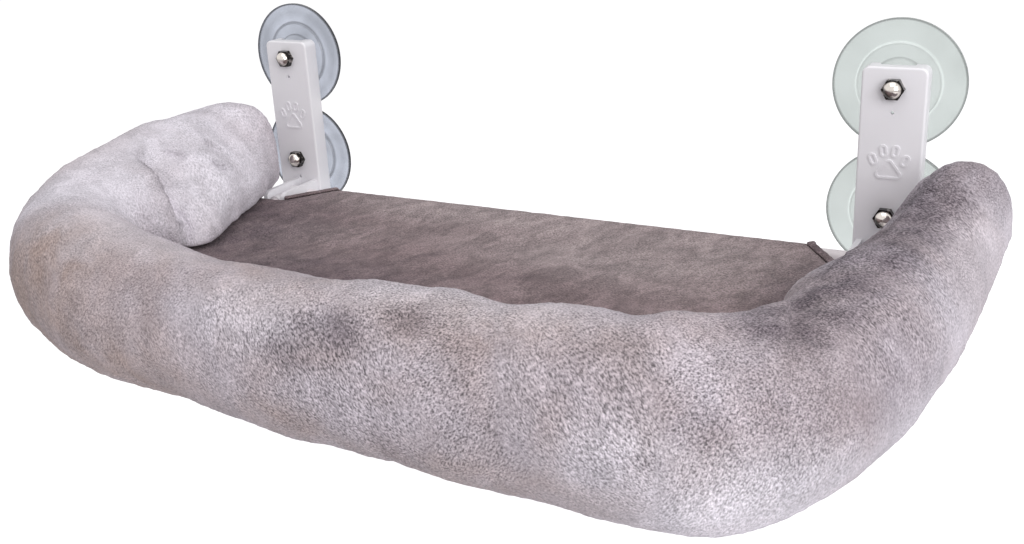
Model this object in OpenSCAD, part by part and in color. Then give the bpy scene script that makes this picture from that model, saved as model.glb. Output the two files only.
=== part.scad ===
// Window mounted cat perch. Two moulded brackets, each held to the glass by two suction cups,
// carry a tube frame that folds up about its rear tube. A padded seat cover is stretched over
// the frame, and a stuffed plush bolster is sewn round the seat's two sides and front.
// Millimetres. +Z is up, +Y points into the glass, X runs along the glass. The origin lies on
// the glass, midway between the four suction cups.

/* [Brackets] */
// Distance between the centre lines of the two brackets
bracket_spacing = 500; // [440:5:620]
// Width of a bracket's face plate
plate_w = 42; // [38:1:48]
// Depth of the plate's side walls, from the face back to the cups
plate_depth = 14; // [13:0.5:18]
// Thickness of the plate's side walls
side_wall = 2.5; // [1.8:0.1:3]
// Thickness of the plate's face
face_wall = 3.5; // [2.5:0.1:4.5]
// Height of the plate above the upper stud
plate_above = 14; // [12:1:20]
// Radius of the plate's four corners
plate_corner_r = 5; // [3:0.5:8]
// Rounding along the plate's front edge
plate_edge_r = 1.5; // [0.8:0.1:2]
// Thickness of the stiffening ribs inside the plate
plate_rib_t = 1.6; // [1:0.1:2]
// Distance from each stud down to its peg hole
peg_hole_drop = 16; // [12:1:20]
// Diameter of the peg holes
peg_hole_d = 2.4; // [1.5:0.1:3]

/* [Bracket arms] */
// Distance from the lower stud down to the fold axis
fold_drop = 28; // [27:1:36]
// Distance from the plate's face forward to the fold axis
fold_reach = 12; // [11.5:0.5:16]
// Length of the arm in front of the plate's face
arm_len = 46; // [40:1:60]
// Inside width of the arm's trough
trough_w = 14.4; // [14:0.1:16]
// Thickness of the arm's two cheeks
cheek_t = 3.8; // [3:0.1:5]
// Thickness of the arm's floor
floor_t = 4; // [3:0.5:6]
// Height of the cheeks above the fold axis
cheek_rise = 10.5; // [9:0.5:14]
// Rounding of the arm's nose
nose_r = 5; // [3:0.5:8]
// Distance that the arm stands inboard of the plate's centre line
arm_inset = 7; // [5:0.5:9]

/* [Paw relief] */
// Width of the paw outline on the plate's face
paw_w = 27.5; // [20:0.5:32]
// Distance of the paw below the middle of the two studs
paw_drop = 5.5; // [3:0.5:8]
// Width of the raised line
paw_line_w = 1.4; // [1:0.1:2]
// Height of the raised line
paw_line_h = 0.8; // [0.4:0.1:1.2]

/* [Suction cups] */
// Outside diameter of a suction cup
cup_d = 87; // [80:0.5:87.5]
// Distance between the two cups of a bracket
cup_pitch = 88; // [88:0.5:100]
// Thickness of the cup at its rim
cup_rim_t = 2; // [1.5:0.1:2.6]
// Thickness of the cup inside its step ring
cup_web_t = 3.4; // [3:0.1:4]
// Diameter of the step ring
cup_step_d = 54; // [48:1:60]
// Diameter of the dome at the cup's middle
cup_dome_d = 35; // [32:0.5:36]
// Diameter of the neck round the stud
cup_neck_d = 20; // [16:0.5:21]
// Depth of the hollow that holds the vacuum
cup_hollow = 1.4; // [1:0.1:2]
// Width of the flat sealing lip
cup_lip_w = 7.5; // [5:0.5:10]

/* [Fasteners] */
// Diameter of the threaded stud
stud_d = 8; // [6:0.5:8]
// Diameter of the stud's head inside the cup's dome
stud_head_d = 18; // [14:0.5:20]
// Thickness of the stud's head
stud_head_t = 2.5; // [2:0.1:3]
// Width of the dome nut across its flats
nut_flats = 13; // [12:0.5:14]
// Height of the nut's hexagon
nut_hex_h = 5; // [4:0.1:5.5]
// Height of the whole nut
nut_h = 9.5; // [9:0.1:10]

/* [Frame] */
// Outside diameter of the frame's tubes
tube_d = 10; // [9:0.1:10.4]
// Wall thickness of the tubes
tube_wall = 1.2; // [1:0.1:1.5]
// Distance from the fold axis forward to the front tube
frame_reach = 205; // [180:5:260]
// Radius of the frame's front corners
bend_r = 50; // [42:1:60]
// Length of the front tube between its two joints
front_tube_len = 120; // [90:5:160]
// Length of the front tube's reduced ends
spigot_len = 35; // [28:1:45]
// Length of a knuckle's socket, from the fold axis
socket_len = 33; // [26:1:34]
// Diameter of the spring buttons
button_d = 4; // [3:0.1:4.2]

/* [Seat] */
// Thickness of the plush cover
plush_t = 2.5; // [1.5:0.1:3]
// Distance from the cover's rear corners out to the front ends of the cuts that form them
cover_corner_cut = 25.5; // [22:0.5:60]
// Distance that the cover runs past the left frame tube
wing_left = 20; // [1:1:24]
// Distance that the cover runs past the right frame tube
wing_right = 0.5; // [0.5:0.5:12]
// Width of the hem turned under the seat
hem_w = 22; // [16:1:28]
// Thickness of the underside cloth
under_t = 1.2; // [0.8:0.1:1.6]
// Distance from each end of the zip to the hem's rear corner
zip_end = 13; // [10:1:40]
// Width of the zip's tape
zip_tape_w = 22; // [18:1:26]
// Width of the zip's row of teeth
zip_teeth_w = 4; // [3:0.1:5]

/* [Bolster] */
// Width of the bolster's section at the middle of the front
bolster_w = 97; // [85:1:110]
// Height of the bolster's section at the middle of the front
bolster_h = 100; // [85:1:110]
// Distance of the bolster's centre line outside the frame's side tubes
bolster_out = 45; // [38:1:52]
// Extra distance at the left arm's rear end, negative towards the middle
bolster_flare_left = -2; // [-6:1:20]
// Extra distance at the right arm's rear end
bolster_flare_right = 27; // [0:1:32]
// Distance of the bolster's centre line in front of the front tube
bolster_front_out = 51; // [40:1:56]
// Sideways shift of the bolster, negative to the left
bolster_shift = -15; // [-20:1:0]
// Radius of the bolster's centre line at the corners
bolster_corner_r = 108; // [90:1:125]
// Length over which the arms round off at their rear ends
bolster_end_len = 30; // [22:1:50]
// Distance of the bolster's rear ends from the glass
bolster_rear_gap = 26; // [24:1:40]

/* [Hidden] */
$fn = 64;

// Overrun of every cut past the face that it opens
over = 1;
// Depth by which joined shapes of one piece run into each other
bite = 0.5;
// Gap between the cups and the plate's rear edge
skirt_gap = 0.6;
// Running clearance between a tube and the bore that it turns in
running_gap = 0.05;
// Clearance of a tube pressed or pushed into another piece
press_gap = 0.02;
// Gap on each side of a knuckle in its trough
trough_gap = 0.3;
// Clearance of a stud in the plate's hole
stud_hole_gap = 0.3;
// Clearance between cloth and what it lies on
soft_gap = 0.15;
// Clearance between the foam and the tubes round it
foam_gap = 0.45;
// Gap between the arms and the cut corners of the cover
notch_gap = 1.5;
// Clearance between the cups' domes and the plate
dome_gap = 0.5;
// Clearance between the bolster and pieces that don't move with it
bolster_gap = 2;

// Places along Y, counted from the glass
face_y = -(cup_web_t + skirt_gap + plate_depth);
neck_end = -face_y - face_wall;
fold_y = face_y - fold_reach;
front_y = fold_y - frame_reach;
arm_tip_y = face_y - arm_len;

// Places along Z, counted from the middle of the cups
plate_top = cup_pitch / 2 + plate_above;
fold_z = -cup_pitch / 2 - fold_drop;
knuckle_d = trough_w - 2 * trough_gap;
floor_top = fold_z - knuckle_d / 2 - trough_gap;
foot_bottom = floor_top - floor_t;

// Places along X
plate_x = bracket_spacing / 2;
arm_x = plate_x - arm_inset;
arm_w = trough_w + 2 * cheek_t;
tube_r = tube_d / 2;

// The cap on each end of the rear tube
tube_cap_wall = 1.5;
tube_cap_grip = 4;
tube_cap_x = arm_x + arm_w / 2 + trough_gap;
rear_tube_half = tube_cap_x + tube_cap_grip;

// The rear end of each frame tube stands clear of the rear tube
knuckle_wall = 2.5;
frame_tube_start = tube_r + knuckle_wall;
bore_r = tube_r - tube_wall;

// The leaf spring behind each button
leaf_t = 0.4;
leaf_w = 2;
leaf_reach = 12;
leaf_high_share = 0.7;
leaf_low_share = 0.5;

// The sleeve of the cover: its cavity, then its outer skin
sleeve_in = tube_r + soft_gap;
sleeve_out = sleeve_in + plush_t;
// The cover's rear corners are cut off so that they clear the arms
notch_half = arm_x - arm_w / 2 - notch_gap;
notch_y = arm_tip_y - bolster_gap;
cover_rear_half = notch_half - cover_corner_cut;
wing_front = wing_right;

// Place of the plate's ribs above and below the middle, as a share of the cups' distance
rib_place_share = 0.125;

// Cup: rise of the dome, thickness at the step ring, and the bead at the rim
cup_dome_rise = 5.2;
cup_dome_h = cup_web_t + cup_dome_rise;
cup_flange_t = (cup_rim_t + cup_web_t) / 2;
cup_bead = 0.5;

// Stud and nut: depth of the nut's bore, thread length inside it, chamfer, and the dome's foot
nut_blind = 2;
stud_end_gap = 0.5;
nut_bore = nut_hex_h + nut_blind;
nut_grip = nut_bore - stud_end_gap;
nut_corner_r = nut_flats / 2 / cos(30);
nut_chamfer_share = 0.92;
dome_foot_share = 0.94;

// Paw outline: places and radii as shares of its width
toe_places_share = [[-0.38, 0.06], [-0.14, 0.28], [0.14, 0.28], [0.38, 0.06]];
toe_turns = [24, 8, -8, -24];
toe_r_share = 0.092;
toe_len_share = 0.12;
pad_corners_share = [[0, -0.04], [-0.2, -0.3], [0.2, -0.3]];
pad_r_share = 0.11;
// The outline's straight sides cross its round ones this far inside the tangent
paw_cross = 0.04;

// Zip: tape, teeth and slider
zip_len = 2 * (cover_rear_half - hem_w - zip_end);
zip_tape_t = 0.8;
zip_teeth_t = 1.6;
zip_edge = 3;
zip_y = fold_y - hem_w - zip_edge - zip_tape_w / 2;
zip_top = fold_z - sleeve_in - under_t;
slider_len = 9;
slider_wall = 1.2;
slider_gap = 0.3;
pull_len = 20;
pull_w = 5;

// Bolster: stations from the left arm's rear end round to the right arm's rear end.
// Stations 0 and 5 are the rear ends, 0.5 and 4.5 the middles of the arms, 1.5 and 3.5 the
// middles of the corners, and 2.5 the middle of the front.
stations = [0, 0.5, 1.5, 2.5, 3.5, 4.5, 5];
last_station = stations[len(stations) - 1];
// Width and height of the section, and its lift above the frame, as shares of the front's size
width_shares = [1.12, 1.04, 0.92, 1.0, 0.94, 0.82, 0.84];
height_shares = [1.0, 1.03, 1.0, 1.02, 1.18, 0.96, 0.94];
lift_shares = [0.35, 0.29, 0.13, -0.09, -0.09, 0.13, 0.4];
section_power = 2.15;
section_sides = 24;
arm_rings = 9;
corner_rings = 7;
front_rings = 9;
end_crowding = 1.7;
end_least_share = 0.14;

bolster_rear_y = -bolster_rear_gap;
bolster_front_y = front_y - bolster_front_out;
bolster_half = arm_x + bolster_out;
bolster_bend_y = bolster_front_y + bolster_corner_r;
bolster_arm_len = bolster_rear_y - bolster_bend_y;

// A place on the bolster's centre line: x, y, direction of the outer side, station
function flare(side) = side < 0 ? bolster_flare_left : bolster_flare_right;
function arm_place(side, t) = [
    bolster_shift + side * (bolster_half + flare(side) * (1 - t)),
    bolster_rear_y - bolster_arm_len * t,
    side < 0 ? 180 : 360,
    side < 0 ? t : last_station - t
];
function corner_place(side, turn, station) = [
    bolster_shift + side * (bolster_half - bolster_corner_r) + bolster_corner_r * cos(turn),
    bolster_bend_y + bolster_corner_r * sin(turn),
    turn,
    station
];
function crowd(i) = pow(i / arm_rings, end_crowding);
bolster_path = [
    for (i = [0 : arm_rings - 1]) arm_place(-1, crowd(i)),
    for (i = [0 : corner_rings]) corner_place(-1, 180 + 90 * i / corner_rings, 1 + i / corner_rings),
    for (i = [1 : front_rings - 1]) let (t = i / front_rings) [
        bolster_shift + (2 * t - 1) * (bolster_half - bolster_corner_r), bolster_front_y, 270, 2 + t
    ],
    for (i = [0 : corner_rings]) corner_place(1, 270 + 90 * i / corner_rings, 3 + i / corner_rings),
    for (i = [arm_rings - 1 : -1 : 0]) arm_place(1, crowd(i))
];

// Value of a table of shares at a station, easing from one station to the next
function ease(t) = (1 - cos(180 * t)) / 2;
function span_of(s) = max([for (i = [0 : len(stations) - 2]) if (s >= stations[i]) i]);
function at_station(shares, s) =
    let (i = span_of(s), t = (s - stations[i]) / (stations[i + 1] - stations[i]))
    shares[i] + (shares[i + 1] - shares[i]) * ease(t);

// How far the section has rounded off towards the end of an arm
function end_share(s) =
    let (d = min(s, last_station - s, 1) * bolster_arm_len, short = max(0, bolster_end_len - d))
    max(end_least_share, sqrt(1 - pow(short / bolster_end_len, 2)));

function power_wave(w) = sign(w) * pow(abs(w), 2 / section_power);
function section(place) =
    let (
        s = place[3],
        grow = end_share(s),
        a = bolster_w / 2 * at_station(width_shares, s) * grow,
        b = bolster_h / 2 * at_station(height_shares, s) * grow,
        mid = fold_z + bolster_h * at_station(lift_shares, s)
    )
    [for (k = [0 : section_sides - 1])
        let (turn = 360 * k / section_sides, out = a * power_wave(cos(turn)))
        [
            place[0] + out * cos(place[2]),
            place[1] + out * sin(place[2]),
            mid + b * power_wave(sin(turn))
        ]];

// Skin of triangles over a row of rings, closed at both ends
module ring_skin(rings) {
    n = len(rings);
    m = len(rings[0]);
    sides = [for (i = [0 : n - 2], k = [0 : m - 1]) let (a = i * m, b = a + m, j = (k + 1) % m)
        each [[a + k, a + j, b + k], [a + j, b + j, b + k]]];
    first = [[for (k = [m - 1 : -1 : 0]) k]];
    last = [[for (k = [0 : m - 1]) (n - 1) * m + k]];
    polyhedron(points = [for (r = rings) each r], faces = concat(sides, first, last), convexity = 8);
}

// Moves a child to a stud: side is -1 left or 1 right, level is 1 upper or -1 lower.
// The child's own +Z then points out of the glass into the room.
module at_stud(side, level) {
    translate([side * plate_x, 0, level * cup_pitch / 2]) rotate([90, 0, 0]) children();
}

// Extrudes a side view along X: its first axis counts forward from the glass, its second is Z
module side_view(width) {
    rotate([90, 0, -90]) linear_extrude(width, center = true) children();
}

module rounded_plate(inset) {
    w = plate_w / 2 - inset;
    r = plate_corner_r - inset;
    low = foot_bottom + inset;
    high = plate_top - inset;
    translate([-w, low + r]) square([2 * w, high - low - 2 * r]);
    translate([-w + r, low]) square([2 * (w - r), high - low]);
    for (x = [-w + r, w - r], z = [low + r, high - r])
        translate([x, z]) circle(r);
}

// The rounding along the front edge, as a bead of four rods and four quarter rings
module plate_edge() {
    w = plate_w / 2;
    r = plate_corner_r;
    straight = plate_top - foot_bottom - 2 * r;
    middle = (plate_top + foot_bottom) / 2;
    for (side = [-1, 1]) {
        translate([side * (w - plate_edge_r), middle, 0])
            rotate([90, 0, 0]) cylinder(h = straight, r = plate_edge_r, center = true);
        translate([0, middle + side * (straight / 2 + r - plate_edge_r), 0])
            rotate([0, 90, 0]) cylinder(h = 2 * (w - r), r = plate_edge_r, center = true);
    }
    for (turn = [0 : 90 : 270])
        translate([
            (turn == 0 || turn == 270 ? 1 : -1) * (w - r),
            middle + (turn < 180 ? 1 : -1) * straight / 2,
            0
        ])
            rotate([0, 0, turn]) rotate_extrude(angle = 90)
                translate([r - plate_edge_r, 0]) circle(plate_edge_r, $fn = 32);
}

module plate_body() {
    back = -face_y - plate_depth;
    translate([0, 0, back]) {
        linear_extrude(plate_depth - plate_edge_r) rounded_plate(0);
        linear_extrude(plate_depth) rounded_plate(plate_edge_r);
        translate([0, 0, plate_depth - plate_edge_r]) plate_edge();
    }
}

module plate_cavity() {
    translate([0, 0, -face_y - plate_depth - over])
        linear_extrude(plate_depth - face_wall + over)
            difference() {
                rounded_plate(side_wall);
                for (z = [-rib_place_share * cup_pitch, rib_place_share * cup_pitch, fold_z])
                    translate([-plate_w / 2, z - plate_rib_t / 2]) square([plate_w, plate_rib_t]);
            }
}

module toe(grow) {
    r = paw_w * toe_r_share + grow;
    length = paw_w * toe_len_share;
    square([2 * (r - paw_cross), length], center = true);
    for (end = [-1, 1]) translate([0, end * length / 2]) circle(r, $fn = 32);
}

// Three round corners joined by their outer tangents
module pad(grow) {
    r = paw_w * pad_r_share + grow;
    corners = pad_corners_share * paw_w;
    edges = [for (i = [0 : 2]) corners[(i + 1) % 3] - corners[i]];
    for (c = corners) translate(c) circle(r, $fn = 32);
    polygon([for (i = [0 : 2])
        let (out = [edges[i][1], -edges[i][0]] / norm(edges[i]) * (r - paw_cross))
        each [corners[i] + out, corners[(i + 1) % 3] + out]]);
}

module paw() {
    for (i = [0 : 3])
        translate(toe_places_share[i] * paw_w) rotate(toe_turns[i])
            difference() {
                toe(0);
                toe(-paw_line_w);
            }
    difference() {
        pad(0);
        pad(-paw_line_w);
    }
}

// Forward arm with its trough, seen from the side
module arm_outline() {
    back = -face_y - bite;
    tip = -arm_tip_y;
    top = fold_z + cheek_rise;
    translate([back, foot_bottom]) square([tip - back, top - foot_bottom - nose_r]);
    translate([back, foot_bottom]) square([tip - back - nose_r, top - foot_bottom]);
    translate([tip - nose_r, top - nose_r]) circle(nose_r);
}

module bracket(side) {
    difference() {
        union() {
            translate([side * plate_x, 0, 0]) rotate([90, 0, 0]) plate_body();
            translate([side * arm_x, 0, 0]) side_view(arm_w) arm_outline();
            translate([side * plate_x, face_y + bite, -paw_drop])
                rotate([90, 0, 0]) linear_extrude(paw_line_h + bite) paw();
        }
        translate([side * plate_x, 0, 0]) rotate([90, 0, 0]) plate_cavity();
        translate([side * arm_x - trough_w / 2, arm_tip_y - over, floor_top])
            cube([trough_w, arm_len + over, fold_z + cheek_rise + over - floor_top]);
        translate([side * arm_x, fold_y, fold_z]) rotate([0, 90, 0])
            cylinder(h = arm_w + 2 * over, r = tube_r + running_gap, center = true);
        for (level = [-1, 1]) at_stud(side, level) {
            cylinder(h = cup_dome_h + dome_gap, r = cup_dome_d / 2 + dome_gap);
            translate([0, 0, neck_end - over])
                cylinder(h = face_wall + 2 * over, d = stud_d + 2 * stud_hole_gap);
            translate([0, -peg_hole_drop, neck_end - over])
                cylinder(h = face_wall + 2 * over, d = peg_hole_d, $fn = 24);
        }
    }
}

// The stud is moulded into the cup, its head inside the dome
module stud_shape() {
    translate([0, 0, cup_web_t]) cylinder(h = stud_head_t, d = stud_head_d);
    translate([0, 0, cup_web_t]) cylinder(h = nut_grip - face_y - cup_web_t, d = stud_d, $fn = 32);
}

module cup() {
    rim = cup_d / 2;
    lip = rim - cup_lip_w;
    step = cup_step_d / 2;
    dome = cup_dome_d / 2;
    neck = cup_neck_d / 2;
    color([0.78, 0.86, 0.84, 0.5])
        difference() {
            rotate_extrude($fn = 96) polygon([
                [0, cup_hollow], [lip, 0], [rim, 0], [rim, cup_rim_t + cup_bead],
                [rim - 2 * cup_bead, cup_rim_t + cup_bead], [rim - 2 * cup_bead, cup_rim_t],
                [step + cup_bead, cup_flange_t], [step, cup_web_t], [dome, cup_web_t],
                [neck, cup_dome_h], [neck, neck_end], [0, neck_end]
            ]);
            stud_shape();
        }
}

module stud() {
    color("silver") stud_shape();
}

module nut() {
    foot = nut_flats / 2 * dome_foot_share;
    rise = nut_h - nut_hex_h;
    dome_r = (foot * foot + rise * rise) / (2 * rise);
    color("gainsboro") translate([0, 0, -face_y])
        difference() {
            union() {
                intersection() {
                    cylinder(h = nut_hex_h, r = nut_corner_r, $fn = 6);
                    cylinder(h = 2 * nut_hex_h, r1 = nut_corner_r + nut_hex_h,
                        r2 = nut_corner_r * nut_chamfer_share - nut_hex_h, $fn = 48);
                }
                intersection() {
                    translate([0, 0, nut_h - dome_r]) sphere(dome_r, $fn = 48);
                    translate([0, 0, nut_hex_h - bite]) cylinder(h = nut_h, r = foot, $fn = 48);
                }
            }
            translate([0, 0, -over])
                cylinder(h = nut_bore + over, d = stud_d + 2 * running_gap, $fn = 32);
        }
}

// A hollow tube along X or Y, centred on the origin
module tube(length, axis, outer = tube_r, inner = bore_r) {
    rotate(axis == "x" ? [0, 90, 0] : [90, 0, 0])
        difference() {
            cylinder(h = length, r = outer, center = true, $fn = 48);
            cylinder(h = length + 2 * over, r = inner, center = true, $fn = 48);
        }
}

module rear_tube() {
    color("white") translate([0, fold_y, fold_z]) tube(2 * rear_tube_half, "x");
}

module tube_cap(side) {
    length = tube_cap_grip + tube_cap_wall;
    color("white") translate([side * tube_cap_x, fold_y, fold_z]) rotate([0, side * 90, 0])
        difference() {
            cylinder(h = length, r = tube_r + tube_cap_wall);
            translate([0, 0, -over]) cylinder(h = tube_cap_grip + over, r = tube_r + press_gap);
        }
}

// A tee that clamps the rear tube and holds the rear end of a frame tube
module knuckle(side) {
    r = knuckle_d / 2;
    color("white") translate([side * arm_x, fold_y, fold_z])
        difference() {
            union() {
                rotate([0, 90, 0]) cylinder(h = knuckle_d, r = r, center = true);
                rotate([90, 0, 0]) cylinder(h = socket_len, r = r);
            }
            rotate([0, 90, 0]) cylinder(h = knuckle_d + 2 * over, r = tube_r + press_gap, center = true);
            translate([0, -frame_tube_start, 0]) rotate([90, 0, 0])
                cylinder(h = socket_len, r = tube_r + press_gap);
        }
}

// Side tube, front corner and half of the front, in one bent tube with a hole for its button
module frame_tube(side) {
    rear_y = fold_y - frame_tube_start;
    bend_y = front_y + bend_r;
    bend_x = arm_x - bend_r;
    joint_x = front_tube_len / 2;
    color("white")
        difference() {
            union() {
                translate([side * arm_x, (rear_y + bend_y) / 2, fold_z]) tube(rear_y - bend_y, "y");
                translate([side * bend_x, bend_y, fold_z]) rotate([0, 0, side < 0 ? 180 : 270])
                    rotate_extrude(angle = 90, $fn = 96) translate([bend_r, 0])
                        difference() {
                            circle(tube_r, $fn = 48);
                            circle(bore_r, $fn = 48);
                        }
                translate([side * (bend_x + joint_x) / 2, front_y, fold_z]) tube(bend_x - joint_x, "x");
            }
            translate([side * (joint_x + spigot_len / 2), front_y, fold_z - tube_r - over])
                cylinder(h = tube_r + over, d = button_d + 2 * stud_hole_gap, $fn = 32);
        }
}

module front_tube() {
    spigot_r = bore_r - running_gap;
    joint_x = front_tube_len / 2;
    color("white") translate([0, front_y, fold_z])
        difference() {
            union() {
                rotate([0, 90, 0])
                    cylinder(h = front_tube_len - 2 * press_gap, r = tube_r, center = true, $fn = 48);
                rotate([0, 90, 0])
                    cylinder(h = front_tube_len + 2 * spigot_len, r = spigot_r, center = true, $fn = 48);
            }
            rotate([0, 90, 0])
                cylinder(h = 2 * (joint_x + spigot_len + over), r = spigot_r - tube_wall,
                    center = true, $fn = 48);
            for (side = [-1, 1])
                translate([side * (joint_x + spigot_len / 2), 0, -tube_r])
                    cylinder(h = tube_r, d = button_d + 2 * stud_hole_gap, $fn = 32);
        }
}

// A button on a bent leaf spring inside each joint of the front tube
module spring_buttons() {
    room = bore_r - running_gap - tube_wall;
    low = -room * leaf_low_share;
    high = room * leaf_high_share;
    color("dimgray")
        for (side = [-1, 1])
            translate([side * (front_tube_len / 2 + spigot_len / 2), front_y, fold_z]) {
                translate([0, 0, -tube_r])
                    cylinder(h = tube_r + low, d = button_d, $fn = 32);
                rotate([90, 0, 0]) linear_extrude(leaf_w, center = true)
                    polygon([
                        [-leaf_w, low - leaf_t], [leaf_reach, low - leaf_t], [leaf_reach + leaf_t, low],
                        [leaf_t, high], [0, high - leaf_t], [leaf_reach - 2 * leaf_t, low], [-leaf_w, low]
                    ]);
            }
}

// Plan of the seat: square sides, round front corners, and the two rear corners cut off
module seat_plan(inset) {
    left = arm_x + wing_left - inset;
    right = arm_x + wing_right - inset;
    front = front_y - wing_front + inset;
    r = bend_r - inset;
    cut_y = notch_y - inset;
    translate([-left, front + r]) square([left + right, cut_y - front - r]);
    translate([r - left, front]) square([left + right - 2 * r, r]);
    for (x = [r - left, right - r]) translate([x, front + r]) circle(r, $fn = 96);
    polygon([
        [-notch_half + inset, cut_y], [notch_half - inset, cut_y],
        [cover_rear_half - inset, fold_y - max(0, inset)],
        [inset - cover_rear_half, fold_y - max(0, inset)]
    ]);
}

// The seat's plan with round edges of radius r; wall draws the cut corners in by the skin
module seat_form(r, wall) {
    left = arm_x + wing_left;
    right = arm_x + wing_right;
    front = front_y - wing_front;
    bend_y = front + bend_r;
    cut_y = notch_y - wall;
    translate([0, 0, fold_z]) {
        translate([0, 0, -r]) linear_extrude(2 * r)
            difference() {
                seat_plan(0);
                translate([-left - over, cut_y]) square([left - notch_half + wall + over, -cut_y]);
                translate([notch_half - wall, cut_y]) square([right - notch_half + wall + over, -cut_y]);
                for (side = [-1, 1])
                    polygon([
                        [side * (notch_half - wall), cut_y],
                        [side * (cover_rear_half - wall), fold_y + over],
                        [side * (left + right), fold_y + over],
                        [side * (left + right), cut_y]
                    ]);
            }
        for (x = [-left, right])
            translate([x, (bend_y + cut_y) / 2, 0]) rotate([90, 0, 0])
                cylinder(h = cut_y - bend_y, r = r, center = true, $fn = 48);
        translate([(right - left) / 2, front, 0]) rotate([0, 90, 0])
            cylinder(h = left + right - 2 * bend_r, r = r, center = true, $fn = 48);
        for (side = [-1, 1])
            translate([side < 0 ? bend_r - left : right - bend_r, bend_y, 0])
                rotate([0, 0, side < 0 ? 180 : 270]) rotate_extrude(angle = 90, $fn = 96)
                    translate([bend_r, 0]) circle(r, $fn = 48);
        translate([0, fold_y, 0]) rotate([0, 90, 0])
            cylinder(h = 2 * (cover_rear_half - wall), r = r, center = true, $fn = 48);
    }
}

// The space inside the frame's tubes, drawn in from their centre lines
module frame_plan(inset) {
    half = arm_x - inset;
    front = front_y + inset;
    r = bend_r - inset;
    translate([-half, front + r]) square([2 * half, fold_y - front - r]);
    translate([r - half, front]) square([2 * (half - r), r]);
    for (side = [-1, 1]) translate([side * (half - r), front + r]) circle(r, $fn = 96);
}

module seat_foam() {
    room = tube_r + foam_gap;
    color("lightyellow") translate([0, 0, fold_z - tube_r]) linear_extrude(tube_d)
        intersection() {
            seat_plan(room + plush_t);
            frame_plan(room);
        }
}

// Plush sleeve round the whole frame, open in the middle of its underside
module seat_cover() {
    color([0.5, 0.44, 0.45])
        difference() {
            seat_form(sleeve_out, 0);
            seat_form(sleeve_in, plush_t);
            translate([0, 0, fold_z - sleeve_out - over]) linear_extrude(sleeve_out) seat_plan(hem_w);
            translate([0, fold_y, fold_z]) rotate([0, 90, 0])
                cylinder(h = bracket_spacing, r = sleeve_in, center = true, $fn = 48);
            for (side = [-1, 1])
                translate([side * arm_x, notch_y, fold_z]) rotate([90, 0, 0])
                    cylinder(h = 2 * (plush_t + over), r = sleeve_in, center = true, $fn = 48);
        }
}

module seat_underside() {
    color([0.35, 0.33, 0.35]) translate([0, 0, zip_top]) linear_extrude(under_t) seat_plan(hem_w);
}

module zip() {
    color("dimgray") translate([0, zip_y, zip_top]) {
        translate([-zip_len / 2, -zip_tape_w / 2, -zip_tape_t]) cube([zip_len, zip_tape_w, zip_tape_t]);
        translate([-zip_len / 2, -zip_teeth_w / 2, -zip_tape_t - zip_teeth_t])
            cube([zip_len, zip_teeth_w, zip_teeth_t + bite]);
    }
}

// Slider at the closed end of the zip, with its pull lying along the teeth
module zip_slider() {
    inner_w = zip_teeth_w + 2 * slider_gap;
    outer_w = inner_w + 2 * slider_wall;
    depth = zip_teeth_t + slider_wall;
    color("gray") translate([-zip_len / 2 + slider_len, zip_y, zip_top - zip_tape_t - slider_gap]) {
        difference() {
            translate([0, -outer_w / 2, -depth]) cube([slider_len, outer_w, depth]);
            translate([-over, -inner_w / 2, slider_wall - depth])
                cube([slider_len + 2 * over, inner_w, depth]);
        }
        translate([slider_len / 2, -pull_w / 2, -depth - slider_wall + bite])
            cube([pull_len, pull_w, slider_wall]);
    }
}

// Stuffed bolster, with a groove for the seat's edge and clearance round the bracket arms
module bolster() {
    relief_half = rear_tube_half - arm_x + tube_cap_wall + bolster_gap;
    color([0.78, 0.74, 0.76])
        difference() {
            ring_skin([for (place = bolster_path) section(place)]);
            translate([0, 0, fold_z - sleeve_out - soft_gap])
                linear_extrude(2 * (sleeve_out + soft_gap)) seat_plan(-sleeve_out - soft_gap);
            for (side = [-1, 1])
                translate([side * arm_x - relief_half, notch_y, fold_z - bolster_h])
                    cube([2 * relief_half, -notch_y, bolster_h + cheek_rise + bolster_gap]);
        }
}

module left_bracket() {
    color("whitesmoke") bracket(-1);
}

module right_bracket() {
    color("whitesmoke") bracket(1);
}

left_bracket();
right_bracket();
at_stud(-1, 1) cup();  // left_upper_cup
at_stud(-1, -1) cup();  // left_lower_cup
at_stud(1, 1) cup();  // right_upper_cup
at_stud(1, -1) cup();  // right_lower_cup
at_stud(-1, 1) stud();  // left_upper_stud
at_stud(-1, -1) stud();  // left_lower_stud
at_stud(1, 1) stud();  // right_upper_stud
at_stud(1, -1) stud();  // right_lower_stud
at_stud(-1, 1) nut();  // left_upper_nut
at_stud(-1, -1) nut();  // left_lower_nut
at_stud(1, 1) nut();  // right_upper_nut
at_stud(1, -1) nut();  // right_lower_nut
rear_tube();
tube_cap(-1);  // left_tube_cap
tube_cap(1);  // right_tube_cap
knuckle(-1);  // left_knuckle
knuckle(1);  // right_knuckle
frame_tube(-1);  // left_frame_tube
frame_tube(1);  // right_frame_tube
front_tube();
spring_buttons();
seat_foam();
seat_cover();
seat_underside();
zip();
zip_slider();
bolster();
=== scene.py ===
# %% [markdown]
# # A cat perch that hangs on a window
# The perch has two moulded brackets, each held to the pane by two suction cups. They carry a
# tube frame that folds up about its rear tube, a padded seat in a plush cover, and a stuffed
# plush bolster round three sides. The hard parts come ready made in the frame, at their real
# size. This script gives every surface its finish, and models all that is soft: the bolster,
# the seat, the cloth under it and the zip.

# %% Load the frame
import math
import bmesh
import bpy
import numpy as np
from mathutils import Matrix, Vector, noise
from mathutils.bvhtree import BVHTree
from mathutils.geometry import delaunay_2d_cdt


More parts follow.
